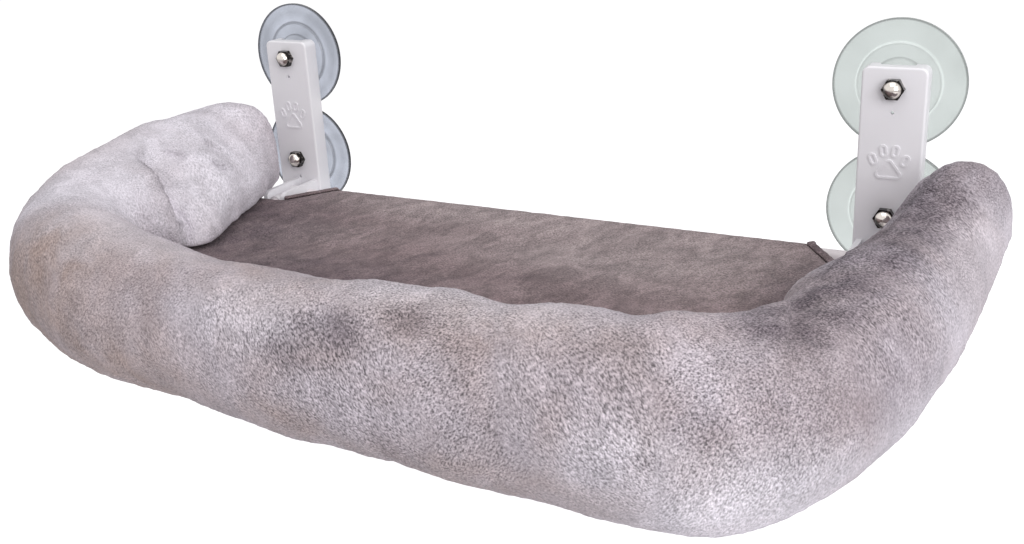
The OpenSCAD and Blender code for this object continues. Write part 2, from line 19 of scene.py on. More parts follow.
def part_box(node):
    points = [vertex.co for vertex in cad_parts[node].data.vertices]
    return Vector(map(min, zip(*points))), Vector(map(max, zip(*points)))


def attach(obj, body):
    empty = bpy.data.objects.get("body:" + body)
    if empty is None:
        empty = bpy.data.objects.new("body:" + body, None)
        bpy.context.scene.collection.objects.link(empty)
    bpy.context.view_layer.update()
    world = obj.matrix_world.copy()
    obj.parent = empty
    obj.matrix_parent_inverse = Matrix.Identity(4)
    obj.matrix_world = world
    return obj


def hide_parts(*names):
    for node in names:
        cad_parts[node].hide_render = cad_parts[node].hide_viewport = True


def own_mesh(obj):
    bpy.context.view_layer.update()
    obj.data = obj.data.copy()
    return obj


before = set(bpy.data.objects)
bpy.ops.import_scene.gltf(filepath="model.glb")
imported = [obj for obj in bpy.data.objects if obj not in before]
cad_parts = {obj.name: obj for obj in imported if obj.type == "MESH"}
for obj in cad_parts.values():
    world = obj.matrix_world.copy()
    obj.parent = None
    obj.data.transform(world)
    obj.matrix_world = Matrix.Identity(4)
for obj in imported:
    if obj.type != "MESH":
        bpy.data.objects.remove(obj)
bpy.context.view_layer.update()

# %% [markdown]
# ## Camera
# The photograph was taken from the room, a little above the seat and to its right. The camera
# was found by matching the round rims of the four cups, the four nuts and the edges of the
# plates, so it is written as a place, three turns and a lens.

# %% Camera
camera_place = (0.3859, -0.7838, 0.2063)
camera_heading = math.radians(29.167)
camera_tilt = math.radians(69.441)
camera_roll = math.radians(-3.001)
camera_lens_mm = 40.23
sensor_mm = 36.0

camera_data = bpy.data.cameras.new("room_camera")
camera_data.lens = camera_lens_mm
camera_data.sensor_width = sensor_mm
camera_data.sensor_fit = "HORIZONTAL"
camera_data.clip_start = 0.01
camera = bpy.data.objects.new("room_camera", camera_data)
bpy.context.collection.objects.link(camera)
camera.matrix_world = (
    Matrix.Translation(camera_place)
    @ Matrix.Rotation(camera_heading, 4, "Z")
    @ Matrix.Rotation(camera_tilt, 4, "X")
    @ Matrix.Rotation(camera_roll, 4, "Z")
)
bpy.context.scene.camera = camera
bpy.context.scene.view_settings.view_transform = "Standard"
print("camera at", [round(c, 3) for c in camera.location])

# %% [markdown]
# ## Node helpers
# A procedural material is a small graph. A few short helpers keep the materials readable: one
# adds a node, one sets or links its sockets, and one chains a noise with a mapping, so that a
# pattern can be stretched along one direction, as the pile of plush is by a stroking hand.

# %% Node helpers
def new_finish(name):
    """A material with an empty graph, its Principled shader and its output."""
    material = bpy.data.materials.new(name)
    material.use_nodes = True
    tree = material.node_tree
    tree.nodes.clear()
    shader = tree.nodes.new("ShaderNodeBsdfPrincipled")
    output = tree.nodes.new("ShaderNodeOutputMaterial")
    tree.links.new(shader.outputs["BSDF"], output.inputs["Surface"])
    return material, tree, shader


def feed(tree, made, values):
    """Links or sets a node's sockets, which are given by name or by place."""
    for key, value in values.items():
        if isinstance(value, bpy.types.NodeSocket):
            tree.links.new(value, made.inputs[key])
        else:
            made.inputs[key].default_value = value


def placed(tree, kind, settings=None, **sockets):
    """Adds a node; settings are its properties, and the rest are values or links of sockets."""
    made = tree.nodes.new(kind)
    for key, value in (settings or {}).items():
        setattr(made, key, value)
    feed(tree, made, {key.replace("_", " "): value for key, value in sockets.items()})
    return made


def node(tree, kind, settings=None, **sockets):
    return placed(tree, "ShaderNode" + kind, settings, **sockets)


def grain(tree, scale, stretch=(1, 1, 1), turn=(0, 0, 0), detail=2.0, distortion=0.0):
    """A noise on the object's own coordinates, in cells per metre, turned and then stretched."""
    place = node(tree, "TexCoord").outputs["Object"]
    turned = node(tree, "VectorRotate", {"rotation_type": "EULER_XYZ"}, Vector=place, Rotation=turn)
    mapped = node(tree, "Mapping", Vector=turned.outputs["Vector"], Scale=stretch)
    made = node(
        tree, "TexNoise", Vector=mapped.outputs["Vector"], Scale=scale, Detail=detail,
        Distortion=distortion,
    )
    return made.outputs["Fac"]


def ramp(tree, value, low, high, start=0.0, end=1.0):
    """Maps a value from low..high to start..end, clamped."""
    made = node(tree, "MapRange", {"clamp": True}, Value=value, From_Min=low, From_Max=high)
    feed(tree, made, {"To Min": start, "To Max": end})
    return made.outputs["Result"]


def blend_colours(tree, factor, first, second, mode="MIX"):
    """Mixes two colours, each a tuple or another colour's socket."""
    made = node(tree, "Mix", {"data_type": "RGBA", "blend_type": mode})
    colours = [c if isinstance(c, bpy.types.NodeSocket) else (*c, 1.0) for c in (first, second)]
    feed(tree, made, {0: factor, 6: colours[0], 7: colours[1]})
    return made.outputs[2]


def mixed(tree, factor, first, second):
    """Mixes two values."""
    made = node(tree, "Mix", {"data_type": "FLOAT"})
    feed(tree, made, {0: factor, 2: first, 3: second})
    return made.outputs[0]


def arithmetic(tree, operation, first, second):
    made = node(tree, "Math", {"operation": operation})
    feed(tree, made, {0: first, 1: second})
    return made.outputs[0]


def times(tree, first, second):
    return arithmetic(tree, "MULTIPLY", first, second)


def relief(tree, shader, height, depth, strength):
    """Feeds a height, as bump of so many metres, to the shader."""
    made = node(tree, "Bump", Height=height, Distance=depth, Strength=strength)
    feed(tree, shader, {"Normal": made.outputs["Normal"]})


def dimmed(colour, share):
    """A colour made darker by a share."""
    return tuple(c * (1 - share) for c in colour)


def tinted(tree, shader, colour, shade):
    """Feeds a colour to the shader, made darker or lighter by a value."""
    made = node(tree, "VectorMath", {"operation": "SCALE"}, Vector=colour, Scale=shade)
    feed(tree, shader, {"Base Color": made.outputs["Vector"]})


# %% [markdown]
# ## Plush
# Short pile changes tone with the way it leans, so the same cloth shows broad pale and dark
# fields with soft edges, and inside them tufts of one or two millimetres. The fields also carry
# painted light and shade: the pale one is partly painted light, the warm and dark ones partly
# painted shade. The fields belong to places on the piece, so they come as attributes on its
# points, set further down: a pale, a warm, a dark and a ruffled field. The tufts are a noise
# stretched along the lie of the pile, which turns from place to place, and lean dark as painted
# shade. The sheen gives the pale edge that pile shows where it is seen from the side.

# %% Plush
def attribute(tree, name):
    return node(tree, "Attribute", {"attribute_name": name}).outputs["Fac"]


def plush(name, field_colours, tuft, contrast, mottle, streaks, sheen):
    """The four colours given are the pile leaning evenly, and its pale, warm and dark fields.
    The pale field is partly painted light, and the warm and dark fields partly painted shade.

    tuft is the width of a tuft in metres. contrast is the light and shade of the tufts where the
    pile lies smooth, and where the field named ruffled is full; the tufts lean dark, as painted
    shade of the pile on itself. mottle is the scale at which the fields break up, in cells per
    metre. streaks are longer marks of a brushing hand: their scale, their stretch and their
    contrast. The tips of the tufts stay paler in the dark field, as painted light on them.
    """
    material, tree, shader = new_finish(name)
    even, pale_nap_and_painted_light, warm_nap_and_painted_shade, dark_nap_and_painted_shade = field_colours
    broken = ramp(tree, grain(tree, mottle, (1.0, 1.0, 0.6), (0.2, 0.4, 0.1), 6.0, 0.4), 0.30, 0.62)
    drift = ramp(tree, grain(tree, mottle / 4, detail=4.0, distortion=0.5), 0.40, 0.62)
    cool = tuple(e * 0.86 + p * 0.14 for e, p in zip(even, pale_nap_and_painted_light))
    tan = tuple(e * 0.66 + w * 0.34 for e, w in zip(even, warm_nap_and_painted_shade))
    colour = blend_colours(tree, drift, cool, tan)
    first = grain(tree, 1 / tuft, (1.0, 1.0, 0.52), (0.5, 0.75, 0.0), 3.0, 0.3)
    second = grain(tree, 1 / tuft, (1.0, 1.0, 0.52), (-0.4, -0.65, 0.2), 3.0, 0.3)
    lie = ramp(tree, grain(tree, 11.0, turn=(0.3, 0.2, 0.9), detail=2.0), 0.46, 0.54)
    pile = mixed(tree, lie, first, second)
    # Paler tips keep the dark field lighter on the tufts, as painted light on them.
    painted_lit_tips = ramp(tree, pile, 0.38, 0.62, 1.0, 0.70)
    # The pale field is partly painted light, and the warm and dark fields partly painted shade.
    for field, tone, least in (("pale_nap_and_painted_light", pale_nap_and_painted_light, 0.76), ("warm_nap_and_painted_shade", warm_nap_and_painted_shade, 0.45), ("dark_nap_and_painted_shade", dark_nap_and_painted_shade, 0.45)):
        patchy = ramp(tree, broken, 0, 1, least, 1.0)
        softened = times(tree, attribute(tree, field), patchy)
        if field == "dark_nap_and_painted_shade":
            softened = times(tree, softened, painted_lit_tips)
        colour = blend_colours(tree, softened, colour, tone)
    # The tufts' light and dark leans dark, as painted shade of the pile on itself, most where it is
    # ruffled.
    depth = ramp(tree, attribute(tree, "ruffled"), 0, 1, contrast[0], contrast[1])
    tufts_and_their_shade = times(tree, ramp(tree, pile, 0.30, 0.70, -1.1, 0.9), depth)
    scale, stretch, strength = streaks
    marks = grain(tree, scale, stretch, (0.0, 0.0, 0.3), 4.0, 0.9)
    brushed = ramp(tree, marks, 0.34, 0.66, 1 - strength, 1 + strength)
    shade = times(tree, arithmetic(tree, "ADD", tufts_and_their_shade, 1.0), brushed)
    tinted(tree, shader, colour, shade)
    feed(tree, shader, {
        "Roughness": 0.92, "Specular IOR Level": 0.15, "Sheen Weight": sheen,
        "Sheen Roughness": 0.45, "Sheen Tint": (0.97, 0.94, 1.0, 1.0),
    })
    relief(tree, shader, pile, tuft * 1.1, 0.9)
    return material


bolster_field_colours = ((0.44, 0.39, 0.43), (0.73, 0.695, 0.755), (0.385, 0.295, 0.27), (0.088, 0.068, 0.084))
seat_field_colours = ((0.236, 0.178, 0.182), (0.36, 0.30, 0.30), (0.19, 0.138, 0.144), (0.085, 0.062, 0.074))
bolster_plush = plush(
    "bolster_plush", bolster_field_colours, tuft=0.00108, contrast=(0.30, 0.70), mottle=55.0,
    streaks=(45.0, (1.0, 1.0, 0.6), 0.11), sheen=0.15,
)
seat_plush = plush(
    "seat_plush", seat_field_colours, tuft=0.0011, contrast=(0.46, 0.46), mottle=60.0,
    streaks=(80.0, (1.0, 0.55, 1.0), 0.24), sheen=0.08,
)

# %% [markdown]
# ## Hard finishes
# The brackets are moulded in off-white plastic with a fine spark-eroded grain. The tubes are
# powder coated, which leaves a slight orange peel. The nuts are polished steel, with a painted
# reflection in their colour: dark round the hexagon and at the lower left of the dome. The cups are
# a clear soft PVC with a faint tint, and rings of painted shade and painted highlight at their rims
# and steps.

# %% Hard finishes
def moulded(name, colour, roughness, fineness, depth):
    """Moulded or coated surface with a slightly uneven gloss and a fine relief.

    fineness is the relief's cells per metre, and depth its depth in metres.
    """
    material, tree, shader = new_finish(name)
    cloud = ramp(tree, grain(tree, 18.0, detail=3.0), 0.35, 0.65)
    gloss = ramp(tree, grain(tree, 60.0, detail=4.0), 0.3, 0.7, roughness - 0.06, roughness + 0.06)
    tone = blend_colours(tree, cloud, colour, dimmed(colour, 0.04))
    feed(tree, shader, {"Base Color": tone, "Roughness": gloss})
    relief(tree, shader, grain(tree, fineness, detail=2.0), depth, 0.5)
    return material


def turning_marks(tree, shader, colour, stretch, gloss):
    """Makes the shader metal with fine marks along one direction, and gives their tone."""
    marks = grain(tree, 900.0, stretch, detail=3.0)
    feed(tree, shader, {"Metallic": 1.0, "Roughness": ramp(tree, marks, 0.3, 0.7, *gloss)})
    relief(tree, shader, marks, 0.00002, 0.3)
    return blend_colours(tree, ramp(tree, marks, 0.3, 0.7), colour, dimmed(colour, 0.14))


def metal(name, colour, roughness, stretch):
    """Bare metal with fine turning marks."""
    material, tree, shader = new_finish(name)
    tone = turning_marks(tree, shader, colour, stretch, (roughness * 0.7, roughness * 1.3))
    feed(tree, shader, {"Base Color": tone})
    return material


def from_cup_axis(tree):
    """Across and up from the nearest cup's axis, in metres: the four axes are at even places."""
    place = node(tree, "SeparateXYZ", Vector=node(tree, "TexCoord").outputs["Object"])
    offsets = []
    for name, spacing in (("X", cup_x), ("Z", cup_z)):
        signed = times(tree, arithmetic(tree, "SIGN", place.outputs[name], 0.0), spacing)
        offsets.append(arithmetic(tree, "SUBTRACT", place.outputs[name], signed))
    return offsets[0], offsets[1], place.outputs["Y"]


def length_of(tree, across, up):
    """The distance of a point, from how far across and up it lies."""
    squares = [times(tree, value, value) for value in (across, up)]
    return arithmetic(tree, "SQRT", arithmetic(tree, "ADD", squares[0], squares[1]), 0.0)


def bands(tree, value, stops):
    """A grey value that follows a value in metres; stops are (millimetres, grey)."""
    made = node(tree, "ValToRGB", Fac=times(tree, value, 1000 / stops[-1][0]))
    elements = made.color_ramp.elements
    elements.remove(elements[1])
    for i, (place, grey) in enumerate(stops):
        element = elements[0] if i == 0 else elements.new(place / stops[-1][0])
        element.position = place / stops[-1][0]
        element.color = (grey, grey, grey, 1.0)
    return made.outputs["Color"]


def clear_pvc(name, colour, cloud, rings):
    """Clear soft PVC. Rings of painted shade and painted highlight, as rings give them, darken its thick
    rim and its steps and lighten thin lines beside them.

    cloud is how far its thicker places darken it.
    """
    material, tree, shader = new_finish(name)
    flow = grain(tree, 26.0, detail=3.0, distortion=0.8)
    cloudy = blend_colours(tree, ramp(tree, flow, 0.35, 0.65), colour, dimmed(colour, cloud))
    across, up, _ = from_cup_axis(tree)
    # Painted shade on the rim and the steps, and painted highlight where a ring's grey is above 1.
    steps = bands(tree, length_of(tree, across, up), rings)
    feed(tree, shader, {
        "Base Color": blend_colours(tree, 1.0, cloudy, steps, "MULTIPLY"),
        "Roughness": ramp(tree, flow, 0.3, 0.7, 0.06, 0.12),
        "Transmission Weight": 0.92, "IOR": 1.38,
    })
    relief(tree, shader, flow, 0.0006, 0.35)
    return material


def steel_with_painted_reflection(name, colour, hex_depth):
    """Polished steel with a painted reflection: dark round its hexagon, and bright in its dome with a dark
    patch at the lower left.
    """
    material, tree, shader = new_finish(name)
    across, up, along = from_cup_axis(tree)
    tone = turning_marks(tree, shader, colour, (1.0, 1.0, 0.2), (0.12, 0.22))
    dome = ramp(tree, along, nut_face_y - hex_depth - 0.0002, nut_face_y - hex_depth - 0.0012)
    # Painted reflection: the hexagon is dark facets, and the dome darkens at its lower left.
    low_left = arithmetic(tree, "ADD", across, up)
    painted_dark_reflection = ramp(tree, low_left, -0.0050, -0.0022, 0.10, 1.0)
    painted_hex_reflection = ramp(tree, grain(tree, 260.0, detail=1.0), 0.56, 0.66, 0.05, 0.55)
    tinted(tree, shader, tone, mixed(tree, dome, painted_hex_reflection, painted_dark_reflection))
    return material


nut_low, nut_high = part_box("right_upper_nut")
cup_x = (nut_low[0] + nut_high[0]) / 2
cup_z = (nut_low[2] + nut_high[2]) / 2
nut_face_y = nut_high[1]
# Rings of painted shade and painted highlight: (millimetres from the axis, grey).
left_cup_painted_rings = [
    (0, 0.70), (16.5, 0.68), (17.5, 0.36), (18.5, 0.86), (26.0, 0.92), (26.8, 0.45),
    (28.2, 0.55), (29.0, 1.03), (36.0, 0.84), (41.8, 0.98), (42.5, 0.3), (43.5, 0.2),
]
right_cup_painted_rings = [
    (0, 0.8), (16.0, 0.85), (17.2, 0.62), (18.4, 1.0), (26.0, 0.97), (26.8, 0.8),
    (27.6, 1.25), (29.0, 1.0), (41.8, 0.97), (42.6, 0.55), (43.5, 0.42),
]
bracket_abs = moulded("bracket_abs", (0.82, 0.805, 0.835), roughness=0.42, fineness=1600.0, depth=0.00008)
powder_coat = moulded("powder_coat", (0.80, 0.74, 0.755), roughness=0.38, fineness=700.0, depth=0.00006)
nylon = moulded("nylon", (0.74, 0.72, 0.74), roughness=0.5, fineness=1200.0, depth=0.00006)
nut_steel_painted_reflection = steel_with_painted_reflection("nut_steel_painted_reflection", (0.80, 0.74, 0.69), hex_depth=0.0055)
stud_steel = metal("stud_steel", (0.55, 0.54, 0.53), roughness=0.3, stretch=(1.0, 0.15, 1.0))
spring_steel = metal("spring_steel", (0.45, 0.45, 0.46), roughness=0.3, stretch=(0.2, 1.0, 1.0))
left_pvc = clear_pvc("left_pvc", (0.61, 0.645, 0.73), cloud=0.26, rings=left_cup_painted_rings)
right_pvc = clear_pvc("right_pvc", (0.66, 0.71, 0.69), cloud=0.07, rings=right_cup_painted_rings)


def dress(node_name, material):
    """Gives a ready-made part its finish."""
    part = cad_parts[node_name]
    part.data.materials.clear()
    part.data.materials.append(material)


for side in ("left", "right"):
    dress(side + "_bracket", bracket_abs)
    dress(side + "_knuckle", nylon)
    dress(side + "_tube_cap", nylon)
    dress(side + "_frame_tube", powder_coat)
    for level in ("upper", "lower"):
        dress(f"{side}_{level}_cup", left_pvc if side == "left" else right_pvc)
        dress(f"{side}_{level}_stud", stud_steel)
        dress(f"{side}_{level}_nut", nut_steel_painted_reflection)
dress("rear_tube", powder_coat)
dress("front_tube", powder_coat)
dress("spring_buttons", spring_steel)
print("hard parts dressed:", sum(1 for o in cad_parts.values() if o.data.materials))

# %% [markdown]
# ## Bolster
# The real bolster is a plush tube, sewn up and stuffed by hand, so it is lumpy and pulls into
# folds at its inner corners. Its rough solid is copied, skinned anew with even cells, blown up
# a little as cloth, and then gets its folds and dents from listed places.

# %% Copy, remesh and smooth
def as_mesh(net, name):
    """A new mesh from an editing mesh, which is freed."""
    mesh = bpy.data.meshes.new(name)
    net.to_mesh(mesh)
    net.free()
    return mesh


def merged_copy(node_name):
    """A copy of a part's mesh with its loose triangles joined up."""
    net = bmesh.new()
    net.from_mesh(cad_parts[node_name].data)
    bmesh.ops.remove_doubles(net, verts=net.verts, dist=1e-6)
    return as_mesh(net, node_name + "_copy")


def applied(obj):
    """Turns an object's modifiers into plain mesh, and removes them."""
    bpy.context.view_layer.update()
    evaluated = obj.evaluated_get(bpy.context.evaluated_depsgraph_get())
    mesh = bpy.data.meshes.new_from_object(evaluated)
    obj.modifiers.clear()
    obj.data = mesh
    return obj


def modify(obj, kind, **settings):
    """Adds a modifier with these settings."""
    made = obj.modifiers.new(kind.lower(), kind)
    for key, value in settings.items():
        setattr(made, key, value)


def remeshed(obj, cell, smoothing):
    """Skins a closed mesh with even cells and smooths away the steps between its old faces."""
    modify(obj, "REMESH", mode="VOXEL", voxel_size=cell)
    modify(obj, "SMOOTH", iterations=smoothing, factor=0.5)
    return applied(obj)


def subdivided(obj, levels):
    """Splits each face in four, so many times, and rounds the mesh as it goes."""
    modify(obj, "SUBSURF", levels=levels, render_levels=levels)
    return applied(obj)


def thickened(obj, thickness):
    """Gives a flat sheet its thickness, half of it to either side."""
    modify(obj, "SOLIDIFY", thickness=thickness, offset=0.0)
    return applied(obj)


def new_object(name, mesh):
    obj = bpy.data.objects.new(name, mesh)
    bpy.context.collection.objects.link(obj)
    return obj


bolster_cell = 0.0043
bolster = new_object("bolster_cover", merged_copy("bolster"))
remeshed(bolster, bolster_cell, smoothing=12)
print("bolster skin:", len(bolster.data.vertices), "points")

# %% Points, normals and neighbours of a mesh
def vectors_of(mesh, kind):
    flat = np.empty(len(mesh.vertices) * 3, np.float32)
    mesh.vertices.foreach_get(kind, flat)
    return flat.reshape(-1, 3).astype(float)


def points_of(mesh):
    return vectors_of(mesh, "co")


def normals_of(mesh):
    return vectors_of(mesh, "normal")


def set_points(mesh, points):
    mesh.vertices.foreach_set("co", points.astype(np.float32).ravel())
    mesh.update()


def surface_of(*node_names):
    """One search tree over several parts, to measure how near something lies to them."""
    corners, faces = [], []
    for name in node_names:
        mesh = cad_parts[name].data
        first = len(corners)
        corners += [v.co.copy() for v in mesh.vertices]
        faces += [[first + i for i in polygon.vertices] for polygon in mesh.polygons]
    return BVHTree.FromPolygons(corners, faces)


bolster_neighbours = surface_of(
    "seat_cover", "left_bracket", "right_bracket", "left_tube_cap", "right_tube_cap",
    "left_lower_cup", "right_lower_cup", "left_lower_nut", "right_lower_nut",
)


def freedom(points, neighbours, near, far):
    """0 where a point lies within near of a neighbour, 1 from far on, for each point."""
    reach = np.array([
        hit[3] if hit[3] is not None else far
        for hit in (neighbours.find_nearest(p, far) for p in points.tolist())
    ])
    return np.clip((reach - near) / (far - near), 0, 1)


# %% [markdown]
# The stuffing presses the cover outwards, which cloth simulation shows well: the smoothed skin
# is drawn in a little and then blown up again with pressure. What lies next to the seat's edge
# or to a bracket is held. The average swell is taken off again and no point may move further
# than a cap, so the tube keeps its size and only gains its unevenness. With cells of 4 mm the
# pressure has to be high against the cloth's stiffness, or nothing moves.

# %% Blow up the bolster
def blown_up(obj, neighbours, shrink, pressure, cap, steps):
    """Swells a closed mesh as cloth under pressure; near its neighbours it stays put."""
    mesh = obj.data
    start = points_of(mesh)
    outwards = normals_of(mesh)
    free = freedom(start, neighbours, near=0.004, far=0.014)
    set_points(mesh, start - outwards * (shrink * free)[:, None])
    held = obj.vertex_groups.new(name="held")
    for share in range(1, 11):
        chosen = np.flatnonzero(np.round((1 - free) * 10) == share)
        if len(chosen):
            held.add(chosen.tolist(), share / 10, "REPLACE")
    cloth = obj.modifiers.new("stuffing", "CLOTH")
    settings = cloth.settings
    settings.quality = 4
    settings.mass = 0.05
    settings.tension_stiffness = settings.compression_stiffness = 2.0
    settings.tension_damping = settings.compression_damping = 0.2
    settings.bending_stiffness = 0.01
    settings.use_pressure = True
    settings.uniform_pressure_force = pressure
    settings.effector_weights.gravity = 0
    settings.vertex_group_mass = "held"
    cloth.point_cache.frame_start = 1
    cloth.point_cache.frame_end = steps
    for step in range(1, steps + 1):
        bpy.context.scene.frame_set(step)
    applied(obj)
    bpy.context.scene.frame_set(1)
    moved = points_of(obj.data) - start
    swell = float(np.median((moved * outwards).sum(1)[free > 0.9]))
    moved -= outwards * (swell * free)[:, None]
    limit = np.minimum(1, cap / np.maximum(np.linalg.norm(moved, axis=1), 1e-9)) * free
    set_points(obj.data, start + moved * limit[:, None])
    spread = np.percentile((moved * outwards).sum(1) * 1000, (5, 95))
    print(obj.name, "swelled", round(swell * 1000, 1), "mm; spread about that", spread.round(1))


blown_up(bolster, bolster_neighbours, shrink=0.005, pressure=2000.0, cap=0.010, steps=14)

# %% [markdown]
# ## Plan of the seat
# The seat's plan has round front corners, and the two rear corners are cut off to clear the
# arms. One function gives that plan at any distance outwards or inwards. The bolster needs it
# too, because its arms lean over the seat.

# %% Plan of the seat
def corners_of(node_name):
    """The low and the high corner of a part's box."""
    return [np.array(corner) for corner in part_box(node_name)]


cover_low, cover_high = corners_of("seat_cover")
edge_r = (cover_high[2] - cover_low[2]) / 2
seat_mid = (cover_high[2] + cover_low[2]) / 2
plan_left, plan_front = cover_low[:2] + edge_r
plan_right, plan_rear = cover_high[:2] - edge_r
front_corner_r = 0.050
cut_front_x = 0.2305
cut_rear_x = 0.2050
cut_y = -0.066
hem_w = 0.022


def seat_outline(grow, cut_grow=0.0, arc_steps=8):
    """The seat's plan, grown outwards, and separately at its rear corners' cuts."""
    r = front_corner_r + grow
    points = []
    for centre_x, start in ((plan_left + front_corner_r, 180), (plan_right - front_corner_r, 270)):
        for step in range(arc_steps + 1):
            turn = math.radians(start + 90 * step / arc_steps)
            centre_y = plan_front + front_corner_r
            points.append((centre_x + r * math.cos(turn), centre_y + r * math.sin(turn)))
    step_y = cut_y + cut_grow
    right_cut = [(plan_right + grow, step_y), (cut_front_x + cut_grow, step_y)]
    left_cut = [(-cut_front_x - cut_grow, step_y), (plan_left - grow, step_y)]
    rear = [(cut_rear_x + cut_grow, plan_rear + grow), (-cut_rear_x - cut_grow, plan_rear + grow)]
    return points + right_cut + rear + left_cut


def inside_by(points, outline):
    """How far inside an outline each point lies, in metres; negative outside."""
    x, y = points[:, 0], points[:, 1]
    nearest = np.full(len(points), 1e9)
    crossings = np.zeros(len(points), int)
    for (ax, ay), (bx, by) in zip(outline, outline[1:] + outline[:1]):
        dx, dy = bx - ax, by - ay
        t = np.clip(((x - ax) * dx + (y - ay) * dy) / (dx * dx + dy * dy), 0, 1)
        nearest = np.minimum(nearest, np.hypot(ax + t * dx - x, ay + t * dy - y))
        passes = (ay > y) != (by > y)
        crossings += passes & (x < ax + (y - ay) / (dy or 1) * dx)
    return np.where(crossings % 2, nearest, -nearest)


# %% [markdown]
# ## Folds and dents
# Hand stuffing leaves three things that no simulation of an even tube gives: folds where the
# tube turns a corner, shallow lumps along its length, and pushes where it leans on something.
# Each is a short list of places in the frame, and moves the points near it along the surface's
# normal or along a given direction.

# %% Folds and dents
MM = 0.001
lying_gap = 0.0007
lying_ease = 0.016
held_within = 0.0015
free_from = 0.006


def push(points, centre, radius, move):
    """Moves what lies within radius of centre, most at the middle. Millimetres."""
    gap = np.linalg.norm(points - np.array(centre) * MM, axis=1) / (radius * MM)
    weight = np.clip(1 - gap * gap, 0, 1) ** 2
    return points + weight[:, None] * np.array(move) * MM


def along_line(points, line, towards):
    """For each point: its distance to the line, signed by towards, and its share of the line."""
    line = np.array(line) * MM
    best = np.full(len(points), 1e9)
    side = np.zeros(len(points))
    along = np.zeros(len(points))
    for i in range(len(line) - 1):
        start, step = line[i], line[i + 1] - line[i]
        t = np.clip((points - start) @ step / (step @ step), 0, 1)
        offset = points - (start + t[:, None] * step)
        reach = np.linalg.norm(offset, axis=1)
        nearer = reach < best
        best[nearer] = reach[nearer]
        side[nearer] = (offset @ towards)[nearer]
        along[nearer] = ((i + t) / (len(line) - 1))[nearer]
    return np.copysign(best, side) / MM, along


def fold(points, normals, line, width, depth, lap, towards):
    """A crease along a line. Cloth rolls up on the side of towards and laps over the crease.

    Across the line the surface steps from lap, on the roll, down to -depth behind it, and both
    fade over about a width. All lengths are in millimetres.
    """
    toward = np.array(towards, float)
    toward /= np.linalg.norm(toward)
    gap, along = along_line(points, line, toward)
    fade = np.clip(along * 3, 0, 1) * np.clip((1 - along) * 6 + 0.35, 0, 1)
    s = gap / width
    step = 0.5 + 0.5 * np.tanh(s / 0.09)
    fall = np.exp(-(np.abs(s) ** 1.6))
    lift = (step * (lap + depth) - depth) * fall
    over = lap * 0.7 * np.exp(-((s - 0.15) / 0.35) ** 2)
    return points + (normals * lift[:, None] - toward * over[:, None]) * fade[:, None] * MM


def settled(points, rest):
    """Lays what has been pushed over the seat down on to its top."""
    low = cover_high[2] + lying_gap
    over = (inside_by(points, seat_outline(edge_r)) > 0.001) & (rest[:, 2] > seat_mid)
    height = np.maximum(points[:, 2] - low, 0)
    share = np.clip(height / lying_ease, 0, 1)
    laid = low + height * share * (2 - share)
    return np.column_stack((points[:, :2], np.where(over, laid, points[:, 2])))


def lumps(points, normals, size, height, seed):
    """Soft lumps of about a size, in metres, along the normals."""
    shift = Vector((seed * 7.3, seed * 3.1, seed * 5.7))
    swell = np.array([noise.noise(Vector(p) / size + shift) for p in points.tolist()])
    return points + normals * (swell * height)[:, None]


left_fold = [
    (-284, -170, 0), (-270, -180, -3), (-257, -188, -7), (-246, -194, -13), (-237, -198, -18),
    (-231, -200, -24), (-226, -202, -31), (-223, -202, -38), (-221, -201, -47), (-220, -200, -60),
]
left_roll = (-0.35, -1, 0.1)
right_fold = [(240, -214, -33), (240, -226, -28), (243, -240, -23), (247, -256, -22), (252, -270, -27)]
right_roll = (-1, -0.4, 0)
tucks = [
    [(-268, -156, -3), (-260, -153, -5), (-251, -149, -9)],
    [(-264, -116, -5), (-256, -114, -8), (-247, -112, -12)],
    [(-242, -135, -16), (-236, -131, -18), (-230, -126, -21)],
]
arm_fold = [
    (250, -196, -26), (254, -178, -23), (262, -158, -18),
    (268, -136, -14), (275, -100, -11), (283, -70, -9),
]
rear_fold = [(-320, -150, -20), (-334, -152, -45), (-338, -150, -75), (-330, -148, -105)]
ridge_y = -268
ridge_z = -32
front_waves = [
    (-128, -3.0, 40), (-98, -5.0, 40), (-66, -3.5, 40), (-36, -4.0, 40), (90, -4.2, 40), (112, -2.2, 40),
    (158, -2.0, 40), (196, 2.6, 40), (-84, 0.9, 22), (-50, 0.9, 22), (8, 0.9, 22), (40, -0.9, 22),
    (66, 1.0, 22), (128, 1.0, 22), (150, 2.4, 26), (174, -1.4, 22), (222, -5.0, 34),
]
leanings = [
    ((338, -92, -64), 75, (-8.5, 0, 1)), ((314, -208, -100), 70, (-6, 1, 2)),
    ((294, -250, -116), 50, (-3, 1, 1)), ((310, -48, 2), 44, (0, 0, 5)),
    ((215, -300, -128), 90, (0, -2, -7)), ((130, -316, -124), 70, (0, 0, -2.5)),
    ((-312, -240, -16), 75, (-2, 0, 3.5)), ((-120, -322, -114), 110, (0, 1, 4.5)),
    ((-318, -84, 10), 36, (0, 0, -4)), ((-286, -48, 3), 44, (1, 1, 5)),
    ((-262, -300, -78), 50, (-1, -2, -1)), ((-268, -42, -14), 50, (7, 6, 6)),
    ((-264, -50, -50), 36, (5, 3, 0)), ((-250, -158, -44), 82, (44, -6, 0)),
    ((-222, -178, -56), 34, (13, -12, -3)), ((-250, -92, -46), 46, (12, 0, 0)),
    ((240, -170, -42), 44, (-7, 2, 2)), ((243, -120, -52), 40, (-3, 0, 0)),
]

